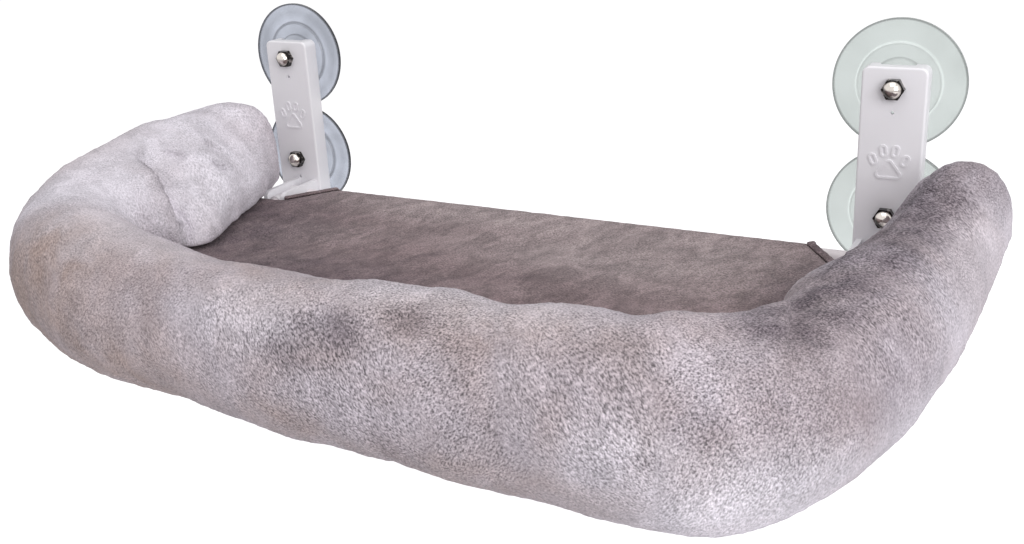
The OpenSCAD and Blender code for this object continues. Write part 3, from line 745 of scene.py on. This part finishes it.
mesh = bolster.data
rest = points_of(mesh)
free = freedom(rest, bolster_neighbours, held_within, free_from)[:, None]
shaped = rest
for centre, radius, move in leanings:
    shaped = push(shaped, centre, radius, move)
for x, height, radius in front_waves:
    shaped = push(shaped, (x, ridge_y, ridge_z), radius, (0, 0, height))
for size, height, seed in ((0.075, 0.0030, 1), (0.034, 0.0014, 2)):
    shaped = lumps(shaped, normals_of(mesh), size, height, seed)
set_points(mesh, settled(rest + (shaped - rest) * free, rest))

# %% Close cells, creases and pile
smaller_folds = [(right_fold, 22, 5.0, 3.5, right_roll), (arm_fold, 13, 2.6, 3.2, (1, 0, 0))]
smaller_folds += [(tuck, 9, 2.6, 2.2, (0, 1, 0)) for tuck in tucks]
smaller_folds += [(rear_fold, 12, 2.5, 2.0, (0, -1, 0))]

subdivided(bolster, 1)
mesh = bolster.data
rest = points_of(mesh)
free = freedom(rest, bolster_neighbours, held_within, free_from)[:, None]
shaped = fold(rest, normals_of(mesh), left_fold, width=30, depth=9.0, lap=9.5, towards=left_roll)
set_points(mesh, rest + (shaped - rest) * free)
shaped = points_of(mesh)
for line, width, depth, lap, towards in smaller_folds:
    shaped = fold(shaped, normals_of(mesh), line, width, depth, lap, towards)
for size, height, seed in ((0.012, 0.0005, 3), (0.0045, 0.0006, 4)):
    shaped = lumps(shaped, normals_of(mesh), size, height, seed)
rest = points_of(mesh)
set_points(mesh, settled(rest + (shaped - rest) * free, rest))
print("bolster cover:", len(mesh.polygons), "faces")

# %% [markdown]
# The nap of the bolster leans in a few broad fields, as hands have stroked it, and the fields also
# carry painted light and shade: pale on the left arm and low on the right, partly painted light
# where those sides catch the light; warm round the left corner and along the front, partly painted
# shade where those sides turn away from it; dark along the top of the right arm, partly dark nap
# and partly painted shade; and a few dark spots along the front. Thin lines of painted shade lie
# in the creases of the folds. Each field is a short list of round places, kept as an attribute on
# the points, so that it stays with the cloth in every pose.

# %% Fields of the nap
def paint(mesh, field, places, lines=()):
    """Writes a field from round places and from lines; the strongest one counts.

    places are (centre, radii, strength) and lines are (points, width, strength), in millimetres.
    """
    points = points_of(mesh)
    value = np.zeros(len(points))
    for centre, radii, strength in places:
        gap = np.linalg.norm((points / MM - np.array(centre)) / np.array(radii, float), axis=1)
        inside = np.clip(1.3 - gap, 0, 1)
        value = np.maximum(value, strength * inside * inside * (3 - 2 * inside))
    for line, width, strength in lines:
        gap, along = along_line(points, line, np.array((0, 0, 1.0)))
        fade = np.clip(along * 5 + 0.2, 0, 1) * np.clip((1 - along) * 5 + 0.2, 0, 1)
        value = np.maximum(value, strength * fade * np.exp(-((gap / width) ** 2)))
    layer = mesh.attributes.new(field, "FLOAT", "POINT")
    layer.data.foreach_set("value", value.astype(np.float32))


def crease_shade_line(line, towards, by):
    """A fold's line, moved by so many millimetres away from its roll, down into the crease, where a line of
    painted shade goes.
    """
    toward = np.array(towards, float)
    return [tuple(np.array(point) - toward / np.linalg.norm(toward) * by) for point in line]


# Pale field: partly the nap's lie, partly painted light on sides that catch the light, most low on the
# right arm.
paint(bolster.data, "pale_nap_and_painted_light", [
    ((-232, -130, -34), (80, 110, 70), 1.0),
    ((-300, -136, 0), (84, 150, 60), 1.0),
    ((-268, -232, -14), (76, 64, 44), 1.0),
    ((-150, -288, -20), (60, 24, 18), 0.5),
    ((66, -290, -22), (110, 30, 20), 0.6),
    ((196, -332, -98), (60, 36, 30), 0.35),
    ((255, -298, -112), (90, 60, 45), 0.85),
    ((196, -326, -84), (50, 30, 30), 0.4),
    ((306, -210, -100), (40, 80, 36), 0.6),
    ((330, -110, -50), (36, 110, 60), 0.5),
    ((-212, -288, -16), (56, 44, 26), 0.75),
    ((-46, -314, -44), (60, 30, 26), 0.4),
])
# Warm field: partly the nap's colour, partly painted shade on the left arm's outer side and low along the
# front.
paint(bolster.data, "warm_nap_and_painted_shade", [
    ((-228, -318, -50), (80, 60, 60), 1.0),
    ((-180, -326, -88), (120, 50, 45), 0.8),
    ((-345, -190, -60), (60, 150, 90), 0.75),
    ((-90, -298, -25), (150, 36, 22), 0.4),
    ((104, -302, -36), (120, 30, 20), 0.5),
    ((136, -320, -56), (60, 34, 30), 0.2),
    ((30, -334, -116), (60, 24, 24), 0.5),
    ((90, -330, -112), (90, 40, 30), 0.5),
    ((-20, -330, -100), (40, 30, 20), 0.6),
])
# Dark field: the top of the right arm, partly dark nap and partly painted shade, a few dark spots along the
# front, and lines of painted shade in the creases of the folds and tucks and beside the left bracket.
paint(bolster.data, "dark_nap_and_painted_shade", [
    ((285, -90, -7), (34, 60, 34), 1.0),
    ((275, -122, -16), (36, 50, 34), 1.0),
    ((271, -156, -18), (34, 50, 30), 1.0),
    ((266, -190, -22), (34, 46, 28), 1.0),
    ((258, -220, -25), (34, 40, 26), 1.0),
    ((250, -256, -23), (38, 30, 24), 1.0),
    ((282, -236, -54), (60, 66, 40), 0.4),
    ((304, -150, -30), (40, 70, 34), 0.25),
    ((312, -52, 0), (32, 36, 28), 0.6),
    ((56, -331, -106), (18, 24, 22), 0.35),
    ((160, -314, -44), (30, 24, 26), 0.2),
    ((262, -290, -70), (26, 36, 46), 0.3),
    ((8, -320, -44), (34, 18, 14), 0.7),
    ((58, -308, -34), (24, 15, 12), 0.5),
    ((-14, -328, -56), (26, 16, 12), 0.5),
    ((222, -318, -62), (22, 14, 12), 0.4),
    ((198, -326, -78), (20, 10, 8), 0.4),
], [
    (crease_shade_line(left_fold, left_roll, 4.5), 4.4, 1.0),
    (crease_shade_line(right_fold, right_roll, 3.0), 4.0, 1.0),
    *[(crease_shade_line(tuck, (0, 1, 0), 1.5), 1.8, 0.5) for tuck in tucks],
    ([(-266, -60, 2), (-262, -52, -6), (-259, -47, -16), (-257, -45, -30), (-257, -45, -44)], 2.0, 0.4),
])
paint(bolster.data, "ruffled", [
    ((40, -310, -66), (170, 80, 76), 1.0),
    ((200, -300, -60), (110, 90, 60), 0.9),
    ((276, -190, -30), (50, 120, 50), 0.75),
    ((284, -90, -8), (40, 80, 40), 0.6),
    ((-140, -320, -70), (100, 60, 60), 0.35),
    ((-260, -290, -50), (100, 80, 60), 0.3),
])

# %% Finish the bolster
for polygon in bolster.data.polygons:
    polygon.use_smooth = True
bolster.data.materials.clear()
bolster.data.materials.append(bolster_plush)
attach(bolster, "perch")
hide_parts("bolster")
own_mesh(bolster)

# %% [markdown]
# ## Seat
# The seat is a sleeve of short plush, drawn over the tube frame and filled with a slab of foam.
# Its round edge, the hem and the cloth underneath all follow the plan set out above.

# %% Seat skin
def walls(net, rings, wrap=False):
    """Faces between rings of as many points each; wrap also joins the last to the first."""
    loops = [[net.verts.new(point) for point in ring] for ring in rings]
    for low, high in zip(loops, loops[1:] + loops[:1] * wrap):
        for i in range(len(low)):
            j = (i + 1) % len(low)
            net.faces.new((low[i], low[j], high[j], high[i]))
    return loops


def skin(rings, name):
    """A closed mesh over rings of as many points each."""
    net = bmesh.new()
    loops = walls(net, rings)
    net.faces.new(loops[0][::-1])
    net.faces.new(loops[-1])
    bmesh.ops.recalc_face_normals(net, faces=net.faces)
    return as_mesh(net, name)


seat_cell = 0.004
edge_turns = [math.radians(turn) for turn in range(-90, 91, 15)]
seat = new_object("seat_pad", skin([
    [(x, y, seat_mid + edge_r * math.sin(turn)) for x, y in seat_outline(edge_r * math.cos(turn))]
    for turn in edge_turns
], "seat_pad"))
remeshed(seat, seat_cell, smoothing=3)
print("seat skin:", len(seat.data.vertices), "points")

# %% [markdown]
# The stretched top sags by 2 mm or so between the tubes and has faint hollows. Underneath, the
# hem stands proud of the cloth that closes the sleeve, so the middle of the underside is moved
# up to just above that cloth.

# %% Shape the seat
cloth_low, cloth_high = corners_of("seat_underside")
cloth_room = 0.0003
hem_outline = seat_outline(-hem_w, -hem_w)
seat_sag = 0.0022
sag_reach = 0.070
hollow_size = (0.085, 0.060)
hem_step = 0.003


def shaped_seat(points):
    """Sags the top, and opens the hem's recess in the underside."""
    moved = points.copy()
    inner = inside_by(points, seat_outline(0))
    top = points[:, 2] > seat_mid + edge_r * 0.6
    ease = np.clip(inner / sag_reach, 0, 1)
    hollows = np.array([
        noise.noise(Vector((x / hollow_size[0], y / hollow_size[1], 3.0))) for x, y, _ in points.tolist()
    ])
    moved[:, 2] -= top * ease * ease * (3 - 2 * ease) * seat_sag * (1 + 0.9 * hollows)
    under = points[:, 2] < seat_mid - edge_r * 0.3
    lift = np.clip(inside_by(points, hem_outline) / hem_step + 0.5, 0, 1)
    roof = cloth_high[2] + cloth_room
    moved[:, 2] = np.where(under, points[:, 2] + (roof - points[:, 2]) * lift, moved[:, 2])
    return moved


def roughened(mesh, size, height, seed):
    """Gives a mesh the small lumps of soft cloth."""
    set_points(mesh, lumps(points_of(mesh), normals_of(mesh), size, height, seed))


subdivided(seat, 1)
set_points(seat.data, shaped_seat(points_of(seat.data)))
roughened(seat.data, size=0.006, height=0.0003, seed=5)
print("seat:", len(seat.data.polygons), "faces")


def finished(obj, material, body="perch", smooth=True):
    """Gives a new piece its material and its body."""
    for polygon in obj.data.polygons:
        polygon.use_smooth = smooth
    obj.data.materials.clear()
    obj.data.materials.append(material)
    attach(obj, body)
    return obj


# Pale field: partly the nap's lie, partly painted light towards the right and the rear.
paint(seat.data, "pale_nap_and_painted_light", [
    ((100, -80, -64), (150, 80, 40), 0.85),
    ((-20, -44, -64), (200, 40, 40), 0.9),
    ((-170, -130, -64), (50, 30, 30), 0.35),
])
paint(seat.data, "warm_nap_and_painted_shade", [((20, -190, -64), (180, 60, 40), 0.6)])
# Dark field: partly dark nap, partly painted shade beside both arms and behind the front roll of the
# bolster, with a few darker strokes across the top.
paint(seat.data, "dark_nap_and_painted_shade", [
    ((-220, -150, -64), (90, 110, 40), 0.9),
    ((218, -110, -64), (30, 60, 40), 0.7),
    ((-120, -205, -64), (130, 50, 40), 0.75),
], [
    ([(-28, -128, -64), (-44, -142, -64), (-56, -160, -64), (-66, -186, -64)], 4.0, 0.7),
    ([(-150, -120, -64), (-120, -140, -64), (-80, -146, -64)], 5.0, 0.35),
    ([(60, -150, -64), (20, -166, -64), (-20, -186, -64)], 4.5, 0.4),
])
finished(seat, seat_plush)
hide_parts("seat_cover", "seat_foam")

# %% [markdown]
# ## Bindings of the cut corners
# Where the sleeve's corner is cut off, its edge is bound with a band of the same cloth, which
# shows as a dark strip beside the right arm; that darkness is painted shade, stronger on the right
# band than on the left. The band is one profile, hooked over the edge, swept over the rear of the
# seat and forward along the cut.

# %% Bindings
band_profile = [
    (-4.6, 0.15), (-4.8, 0.9), (-4.2, 1.5), (-2.0, 1.75), (0.2, 1.6), (1.1, 1.0), (1.5, -0.2),
    (1.5, -3.6), (1.2, -4.3), (0.7, -4.3), (0.35, -3.6), (0.3, -0.6), (-0.4, 0.1), (-2.4, 0.15),
]


def binding(side, name):
    """Sweeps the profile from behind the seat's rear edge, over it and along the cut."""
    back = Vector((side * cut_rear_x, plan_rear, seat_mid))
    ahead = Vector((side * (cut_front_x - cut_rear_x), cut_y - plan_rear, 0))
    outward = Vector((-ahead.y, ahead.x, 0)).normalized() * side
    stations = []
    for turn in range(0, 91, 18):
        t = math.radians(turn)
        up = Vector((0, math.cos(t), math.sin(t)))
        stations.append((back + up * edge_r, up))
    for share in (0.15, 0.3, 0.45, 0.6, 0.75, 0.9, 1.0):
        wave = 0.0002 * math.sin(13 * share)
        stations.append((back + ahead * share + Vector((0, 0, edge_r + wave)), Vector((0, 0, 1))))
    return skin([
        [point + outward * (u * MM) + up * (v * MM) for u, v in band_profile]
        for point, up in stations
    ], name)


def even_turns(count):
    """So many angles, spread evenly over a full turn."""
    return [2 * math.pi * k / count for k in range(count)]


def tube_along(path, radius, sides, name):
    """A closed tube along a path, with its ends drawn in."""
    path = [Vector(point) for point in path]
    rings = []
    for i, point in enumerate(path):
        ahead = (path[min(i + 1, len(path) - 1)] - path[max(i - 1, 0)]).normalized()
        across = ahead.cross(Vector((0, 1, 0))).normalized()
        up = across.cross(ahead)
        r = radius * (0.45 if i in (0, len(path) - 1) else 1.0)
        rings.append([
            point + across * (r * math.cos(t)) + up * (r * math.sin(t)) for t in even_turns(sides)
        ])
    return skin(rings, name)


for side, name in ((-1, "left_binding"), (1, "right_binding")):
    band = new_object(name, binding(side, name))
    subdivided(band, 2)
    roughened(band.data, size=0.004, height=0.0003, seed=6)
    # The dark field on the bands is painted shade, stronger on the right one beside the right arm.
    paint(band.data, "dark_nap_and_painted_shade", [((side * 218, -45, -64), (60, 60, 60), 0.6 if side > 0 else 0.3)])
    finished(band, seat_plush)
print("bindings made")

# %% [markdown]
# ## Cloth under the seat
# A plain woven cloth closes the sleeve from below, sewn to the hem all round. It is stretched
# flat, so a plane cut to the hem's line will do, with enough points inside to let it wave a
# little. The cut is triangulated with the outline as a constraint, and gets its thickness last.

# %% Cloth under the seat
def new_mesh(name, points, edges, faces):
    mesh = bpy.data.meshes.new(name)
    mesh.from_pydata(points, edges, faces)
    return mesh


def cut_cloth(outline, cell, height, name):
    """A flat sheet with this outline, filled with triangles about as large as cell."""
    xs = [x for x, _ in outline]
    ys = [y for _, y in outline]
    inner = [
        (x, y)
        for x in np.arange(min(xs) + cell, max(xs), cell)
        for y in np.arange(min(ys) + cell, max(ys), cell)
    ]
    deep = inside_by(np.array(inner), outline) > cell * 0.5
    corners = [Vector(p) for p in outline] + [Vector(p) for p, keep in zip(inner, deep) if keep]
    edges = [(i, (i + 1) % len(outline)) for i in range(len(outline))]
    result = delaunay_2d_cdt(corners, edges, [], 1, 1e-6)
    return new_mesh(name, [(p.x, p.y, height) for p in result[0]], [], result[2])


def area_of(outline):
    pairs = zip(outline, outline[1:] + outline[:1])
    return abs(sum(ax * by - bx * ay for (ax, ay), (bx, by) in pairs)) / 2


def woven(name, colour, thread):
    """Plain weave: two crossed wave patterns, with slight streaks along the threads."""
    material, tree, shader = new_finish(name)
    place = node(tree, "TexCoord").outputs["Object"]
    threads = [
        node(
            tree, "TexWave", {"bands_direction": direction}, Vector=place,
            Scale=1 / thread / 6.283, Distortion=0.6,
        ).outputs["Fac"]
        for direction in ("X", "Y")
    ]
    weave = times(tree, threads[0], threads[1])
    streak = ramp(tree, grain(tree, 120.0, (0.08, 1.0, 1.0), detail=3.0), 0.3, 0.7)
    worn = blend_colours(tree, streak, colour, dimmed(colour, 0.2))
    tinted(tree, shader, worn, ramp(tree, weave, 0.0, 0.8, 0.72, 1.1))
    feed(tree, shader, {"Roughness": 0.85, "Specular IOR Level": 0.2})
    relief(tree, shader, weave, thread * 0.4, 0.7)
    return material


under_cloth = woven("under_cloth", (0.105, 0.095, 0.105), thread=0.0011)
tape_cloth = woven("tape_cloth", (0.125, 0.115, 0.122), thread=0.0007)
thread_finish = moulded("sewing_thread", (0.20, 0.175, 0.18), roughness=0.7, fineness=2500.0, depth=0.00008)

cloth_cell = 0.008
cloth_t = 0.0008
cloth_wave = 0.0002
cloth_wave_len = 0.03
cloth = new_object("underside_cloth", cut_cloth(
    hem_outline, cloth_cell, (cloth_low[2] + cloth_high[2]) / 2, "underside_cloth",
))
set_points(cloth.data, points_of(cloth.data) + np.array([
    (0, 0, cloth_wave * noise.noise(Vector(p) / cloth_wave_len)) for p in points_of(cloth.data).tolist()
]))
thickened(cloth, cloth_t)
finished(cloth, under_cloth)
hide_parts("seat_underside")
area_of(hem_outline)

# %% [markdown]
# ## Sewing
# Stitches and zip teeth are the same small shape, repeated along a line hundreds of times.
# Geometry Nodes do that well: the line becomes a curve, the curve becomes points at an even
# spacing, and each point gets one copy, turned along the line.

# %% A tree that repeats a shape along a line
def repeat_tree():
    """Inputs: the line as a mesh, the spacing, the shape and its material."""
    tree = bpy.data.node_groups.new("repeat_along_line", "GeometryNodeTree")
    sockets = {"Line": "Geometry", "Spacing": "Float", "Shape": "Object", "Material": "Material"}
    for label, kind in sockets.items():
        tree.interface.new_socket(label, in_out="INPUT", socket_type="NodeSocket" + kind)
    tree.interface.new_socket("Pieces", in_out="OUTPUT", socket_type="NodeSocketGeometry")
    line, spacing, shape, material = tree.nodes.new("NodeGroupInput").outputs[:4]
    curve = placed(tree, "GeometryNodeMeshToCurve", Mesh=line)
    points = placed(
        tree, "GeometryNodeCurveToPoints", {"mode": "LENGTH"},
        Curve=curve.outputs["Curve"], Length=spacing,
    )
    piece = placed(tree, "GeometryNodeObjectInfo", Object=shape)
    turned = placed(
        tree, "FunctionNodeAlignRotationToVector", {"axis": "X", "pivot_axis": "Z"},
        Vector=points.outputs["Tangent"],
    )
    copies = placed(
        tree, "GeometryNodeInstanceOnPoints", Points=points.outputs["Points"],
        Instance=piece.outputs["Geometry"], Rotation=turned.outputs["Rotation"],
    )
    plain = placed(tree, "GeometryNodeRealizeInstances", Geometry=copies.outputs["Instances"])
    painted = placed(
        tree, "GeometryNodeSetMaterial", Geometry=plain.outputs["Geometry"], Material=material,
    )
    placed(tree, "NodeGroupOutput", Pieces=painted.outputs["Geometry"])
    return tree


repeat = repeat_tree()


def repeated(name, lines, spacing, shape_mesh, material):
    """Copies of a small shape along one or more lines of points, as one plain mesh."""
    shape = new_object(name + "_shape", shape_mesh)
    corners = [point for line in lines for point in line]
    edges = []
    first = 0
    for line in lines:
        edges += [(first + i, first + i + 1) for i in range(len(line) - 1)]
        first += len(line)
    obj = new_object(name, new_mesh(name, [tuple(corner) for corner in corners], edges, []))
    rows = obj.modifiers.new("rows", "NODES")
    rows.node_group = repeat
    values = {"Spacing": spacing, "Shape": shape, "Material": material}
    for socket in repeat.interface.items_tree:
        if socket.name in values:
            rows[socket.identifier] = values[socket.name]
    applied(obj)
    bpy.data.objects.remove(shape)
    print(name, "has", len(obj.data.polygons), "faces")
    return obj


def stitch_mesh(length, thickness, sides=6):
    """One stitch: a short thread that dips into the cloth at both ends. It lies along X."""
    rings = []
    for share, grow, dip in (
        (-0.5, 0.35, 0.9), (-0.38, 0.85, 0.3), (0, 1, 0), (0.38, 0.85, 0.3), (0.5, 0.35, 0.9),
    ):
        r = thickness / 2 * grow
        rings.append([
            (share * length, r * math.cos(turn), r * math.sin(turn) + dip * thickness)
            for turn in even_turns(sides)
        ])
    return skin(rings, "stitch")


# %% Stitches round the hem
stitch_pitch = 0.0042
stitch_len = 0.0033
stitch_t = 0.0006
stitch_inset = 0.0035


def sewing(name, lines):
    """Stitches of sewing thread along lines."""
    stitch = stitch_mesh(stitch_len, stitch_t)
    finished(repeated(name, lines, stitch_pitch, stitch, thread_finish), thread_finish)


sewn = seat_outline(-hem_w + stitch_inset, -hem_w + stitch_inset)
sewing("hem_stitches", [[(x, y, cover_low[2] - stitch_t * 0.3) for x, y in sewn + sewn[:1]]])

# %% [markdown]
# ## Zip
# The zip in the underside cloth lets the foam be put in. It has two tapes, a nylon coil that
# reads as two rows of small teeth, a stop at each end, and a slider with a pull that runs along
# it. The slider moves on its own, so it is a piece of its own on its own body.

# %% Tapes and teeth
zip_low, zip_high = corners_of("zip")
zip_mid_y = (zip_low[1] + zip_high[1]) / 2
zip_x = zip_high[0]
tape_t = 0.0008
tape_gap = 0.0006
tape_cells = 85


def tape_strip(side):
    """One tape: a thin strip from the middle of the zip outwards, faintly wavy."""
    inner = zip_mid_y + side * tape_gap / 2
    outer = zip_mid_y + side * (zip_high[1] - zip_mid_y)
    height = zip_high[2] - tape_t / 2
    points, faces = [], []
    for i in range(tape_cells + 1):
        x = -zip_x + 2 * zip_x * i / tape_cells
        for share in (0.0, 0.33, 0.66, 1.0):
            wave = 0.00012 * noise.noise(Vector((x / 0.012, share + side, 0.5))) * share
            points.append((x, inner + (outer - inner) * share, height + wave))
    for i in range(tape_cells):
        for k in range(3):
            a = 4 * i + k
            faces.append((a, a + 4, a + 5, a + 1))
    return new_mesh("tape", points, [], faces)


for side, name in ((-1, "front_zip_tape"), (1, "rear_zip_tape")):
    tape = thickened(new_object(name, tape_strip(side)), tape_t)
    net = bmesh.new()
    net.from_mesh(tape.data)
    bmesh.ops.recalc_face_normals(net, faces=net.faces)
    net.to_mesh(tape.data)
    net.free()
    finished(tape, tape_cloth, smooth=False)
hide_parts("zip")

tooth_pitch = 0.0026
tooth_len = 0.0028
tooth_t = 0.0013
teeth_z = zip_high[2] - tape_t - tooth_t * 0.45
row_x = zip_x - 0.004
tooth_turn = math.radians(78)
front_row = [(x, zip_mid_y - tooth_len * 0.22, teeth_z) for x in (-row_x, row_x)]
rear_row = [(x, zip_mid_y + tooth_len * 0.22, teeth_z) for x in (row_x - tooth_pitch / 2, -row_x)]
tooth = stitch_mesh(tooth_len, tooth_t)
tooth.transform(Matrix.Rotation(tooth_turn, 4, "Z") @ Matrix.Rotation(math.pi, 4, "X"))
teeth_nylon = moulded("teeth_nylon", (0.07, 0.066, 0.07), roughness=0.35, fineness=2500.0, depth=0.00004)
teeth = repeated("zip_teeth", [front_row, rear_row], tooth_pitch, tooth, teeth_nylon)
finished(teeth, teeth_nylon)

seam_inset = 0.003
sewing("zip_stitches", [
    [(x, y, zip_high[2] - tape_t - stitch_t * 0.2) for x in (-zip_x, zip_x)]
    for y in (zip_low[1] + seam_inset, zip_high[1] - seam_inset)
])

# %% Stops and slider
bevel_w = 0.00022
slider_zinc = metal("slider_zinc", (0.34, 0.33, 0.33), roughness=0.3, stretch=(1.0, 0.2, 1.0))


def plate_with_hole(outline, hole, low, high, name):
    """A flat plate between two outlines of as many points each: its rim and its hole."""
    rings = [
        [(x, y, low) for x, y in outline], [(x, y, high) for x, y in outline],
        [(x, y, high) for x, y in hole], [(x, y, low) for x, y in hole],
    ]
    net = bmesh.new()
    walls(net, rings, wrap=True)
    bmesh.ops.recalc_face_normals(net, faces=net.faces)
    sharp = [edge for edge in net.edges if edge.calc_face_angle(0) > 0.8]
    bmesh.ops.bevel(net, geom=sharp, offset=bevel_w, segments=2, profile=0.5, affect="EDGES")
    return as_mesh(net, name)


def rounded_outline(length, width, power, centre, points=28):
    """A rounded rectangle as a superellipse round centre."""
    outline = []
    for t in even_turns(points):
        c, s = math.cos(t), math.sin(t)
        outline.append((
            centre[0] + length / 2 * math.copysign(abs(c) ** (2 / power), c),
            centre[1] + width / 2 * math.copysign(abs(s) ** (2 / power), s),
        ))
    return outline


def stacked(outline, centre, levels, name):
    """A solid over one outline, grown round centre; levels are (growth, height)."""
    return skin([
        [(centre[0] + (x - centre[0]) * grow, centre[1] + (y - centre[1]) * grow, z) for x, y in outline]
        for grow, z in levels
    ], name)


def joined(meshes, name):
    """Several meshes as one."""
    net = bmesh.new()
    for mesh in meshes:
        net.from_mesh(mesh)
    return as_mesh(net, name)


slider_low, slider_high = corners_of("zip_slider")
slider_len = 0.009
slider_mid_x = slider_low[0] + slider_len / 2
slider_w = slider_high[1] - slider_low[1]
pull_z = slider_low[2]
pull_t = 0.0012
shell_z = pull_z + pull_t - 0.0002
shell_mid = (slider_mid_x, zip_mid_y)
shell = stacked(rounded_outline(slider_len, slider_w, 3.0, shell_mid), shell_mid, [
    (0.82, shell_z), (0.95, shell_z + 0.0003), (1.0, shell_z + 0.0008),
    (1.0, slider_high[2] - 0.0004), (0.94, slider_high[2]),
], "shell")
bail = tube_along([
    (slider_mid_x + 0.0028 * math.cos(t), zip_mid_y, shell_z + 0.0002 - 0.0009 * math.sin(t))
    for t in [math.pi * k / 10 for k in range(11)]
], radius=0.00045, sides=8, name="bail")
pull_len = slider_high[0] - slider_mid_x
pull_w = 0.0050
pull_hole_w = 0.0022
pull_mid = (slider_mid_x + pull_len / 2, zip_mid_y)
pull = plate_with_hole(
    rounded_outline(pull_len, pull_w, 3.2, pull_mid),
    rounded_outline(pull_len * 0.30, pull_hole_w, 2.6, (pull_mid[0] - pull_len * 0.27, zip_mid_y)),
    pull_z, pull_z + pull_t * 0.8, "pull",
)
slider = new_object("slider_and_pull", joined([shell, bail, pull], "slider_and_pull"))
finished(slider, slider_zinc, body="zip_slider", smooth=False)
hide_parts("zip_slider")

stop_len = 0.0022
stop_w = 0.0046
stop_t = 0.0016
stops = []
for x in (-zip_x + stop_len, zip_x - stop_len):
    stop_mid = (x, zip_mid_y)
    stops.append(stacked(rounded_outline(stop_len, stop_w, 4.0, stop_mid, 16), stop_mid, [
        (0.8, teeth_z - stop_t / 2), (1.0, teeth_z - stop_t / 4), (1.0, teeth_z + stop_t / 2),
    ], "stop"))
zip_stops = new_object("zip_stops", joined(stops, "zip_stops"))
finished(zip_stops, slider_zinc, smooth=False)
print("zip:", len(teeth.data.polygons), "faces in the teeth")

# %% [markdown]
# ## Stage and light
# The photograph shows the perch cut out on white, in soft light from its right. The floor lies
# well below, so that it only takes a soft shadow. It lets the view through from underneath, so
# that the seat's underside can be looked at too.

# %% Stage
stage_white = bpy.data.materials.new("stage_white")
stage_white.use_nodes = True
floor_drop = 0.42
floor_half = 6.0
floor_net = bmesh.new()
bmesh.ops.create_grid(floor_net, x_segments=1, y_segments=1, size=floor_half)
bmesh.ops.translate(floor_net, verts=floor_net.verts, vec=(0, 0, -floor_drop))
floor = new_object("floor", as_mesh(floor_net, "floor"))
floor.data.materials.append(stage_white)


def ray_is(tree, *kinds):
    """1 for a ray of any of these kinds."""
    path = node(tree, "LightPath")
    found = path.outputs[f"Is {kinds[0]} Ray"]
    for kind in kinds[1:]:
        found = arithmetic(tree, "MAXIMUM", found, path.outputs[f"Is {kind} Ray"])
    return found


def either_shader(tree, factor, first, second):
    made = node(tree, "MixShader")
    feed(tree, made, {0: factor, 1: first.outputs[0], 2: second.outputs[0]})
    return made


tree = stage_white.node_tree
tree.nodes.clear()
below = node(tree, "NewGeometry").outputs["Backfacing"]
diffuse = node(tree, "BsdfDiffuse", Color=(0.86, 0.86, 0.87, 1.0))
glow = node(tree, "Emission", Color=(1, 1, 1, 1), Strength=0.55)
lit = node(tree, "AddShader")
feed(tree, lit, {0: diffuse.outputs[0], 1: glow.outputs[0]})
above = either_shader(tree, ray_is(tree, "Camera", "Transmission"), diffuse, lit)
whole = either_shader(tree, below, above, node(tree, "BsdfTransparent"))
node(tree, "OutputMaterial", Surface=whole.outputs[0])

world = bpy.data.worlds.new("soft_room")
bpy.context.scene.world = world
world.use_nodes = True
tree = world.node_tree
tree.nodes.clear()
room = node(tree, "Background", Color=(0.98, 0.97, 0.98, 1.0), Strength=0.58)
white = node(tree, "Background", Color=(1, 1, 1, 1), Strength=1.0)
sky = either_shader(tree, ray_is(tree, "Camera", "Transmission", "Glossy"), room, white)
node(tree, "OutputWorld", Surface=sky.outputs[0])


def soft_lamp(name, place, aim, size, watts, colour=(1, 1, 1)):
    """A square area lamp at place, facing aim."""
    data = bpy.data.lights.new(name, "AREA")
    data.size = size
    data.energy = watts
    data.color = colour
    lamp = new_object(name, data)
    lamp.location = place
    lamp.rotation_euler = (Vector(aim) - Vector(place)).to_track_quat("-Z", "Y").to_euler()


middle = (0.0, -0.15, -0.03)
soft_lamp("window_light", (1.45, -1.15, 0.7), middle, size=1.2, watts=20.0, colour=(0.99, 0.99, 1.0))
soft_lamp("ceiling_light", (0.1, -0.5, 1.7), middle, size=1.6, watts=10.0)
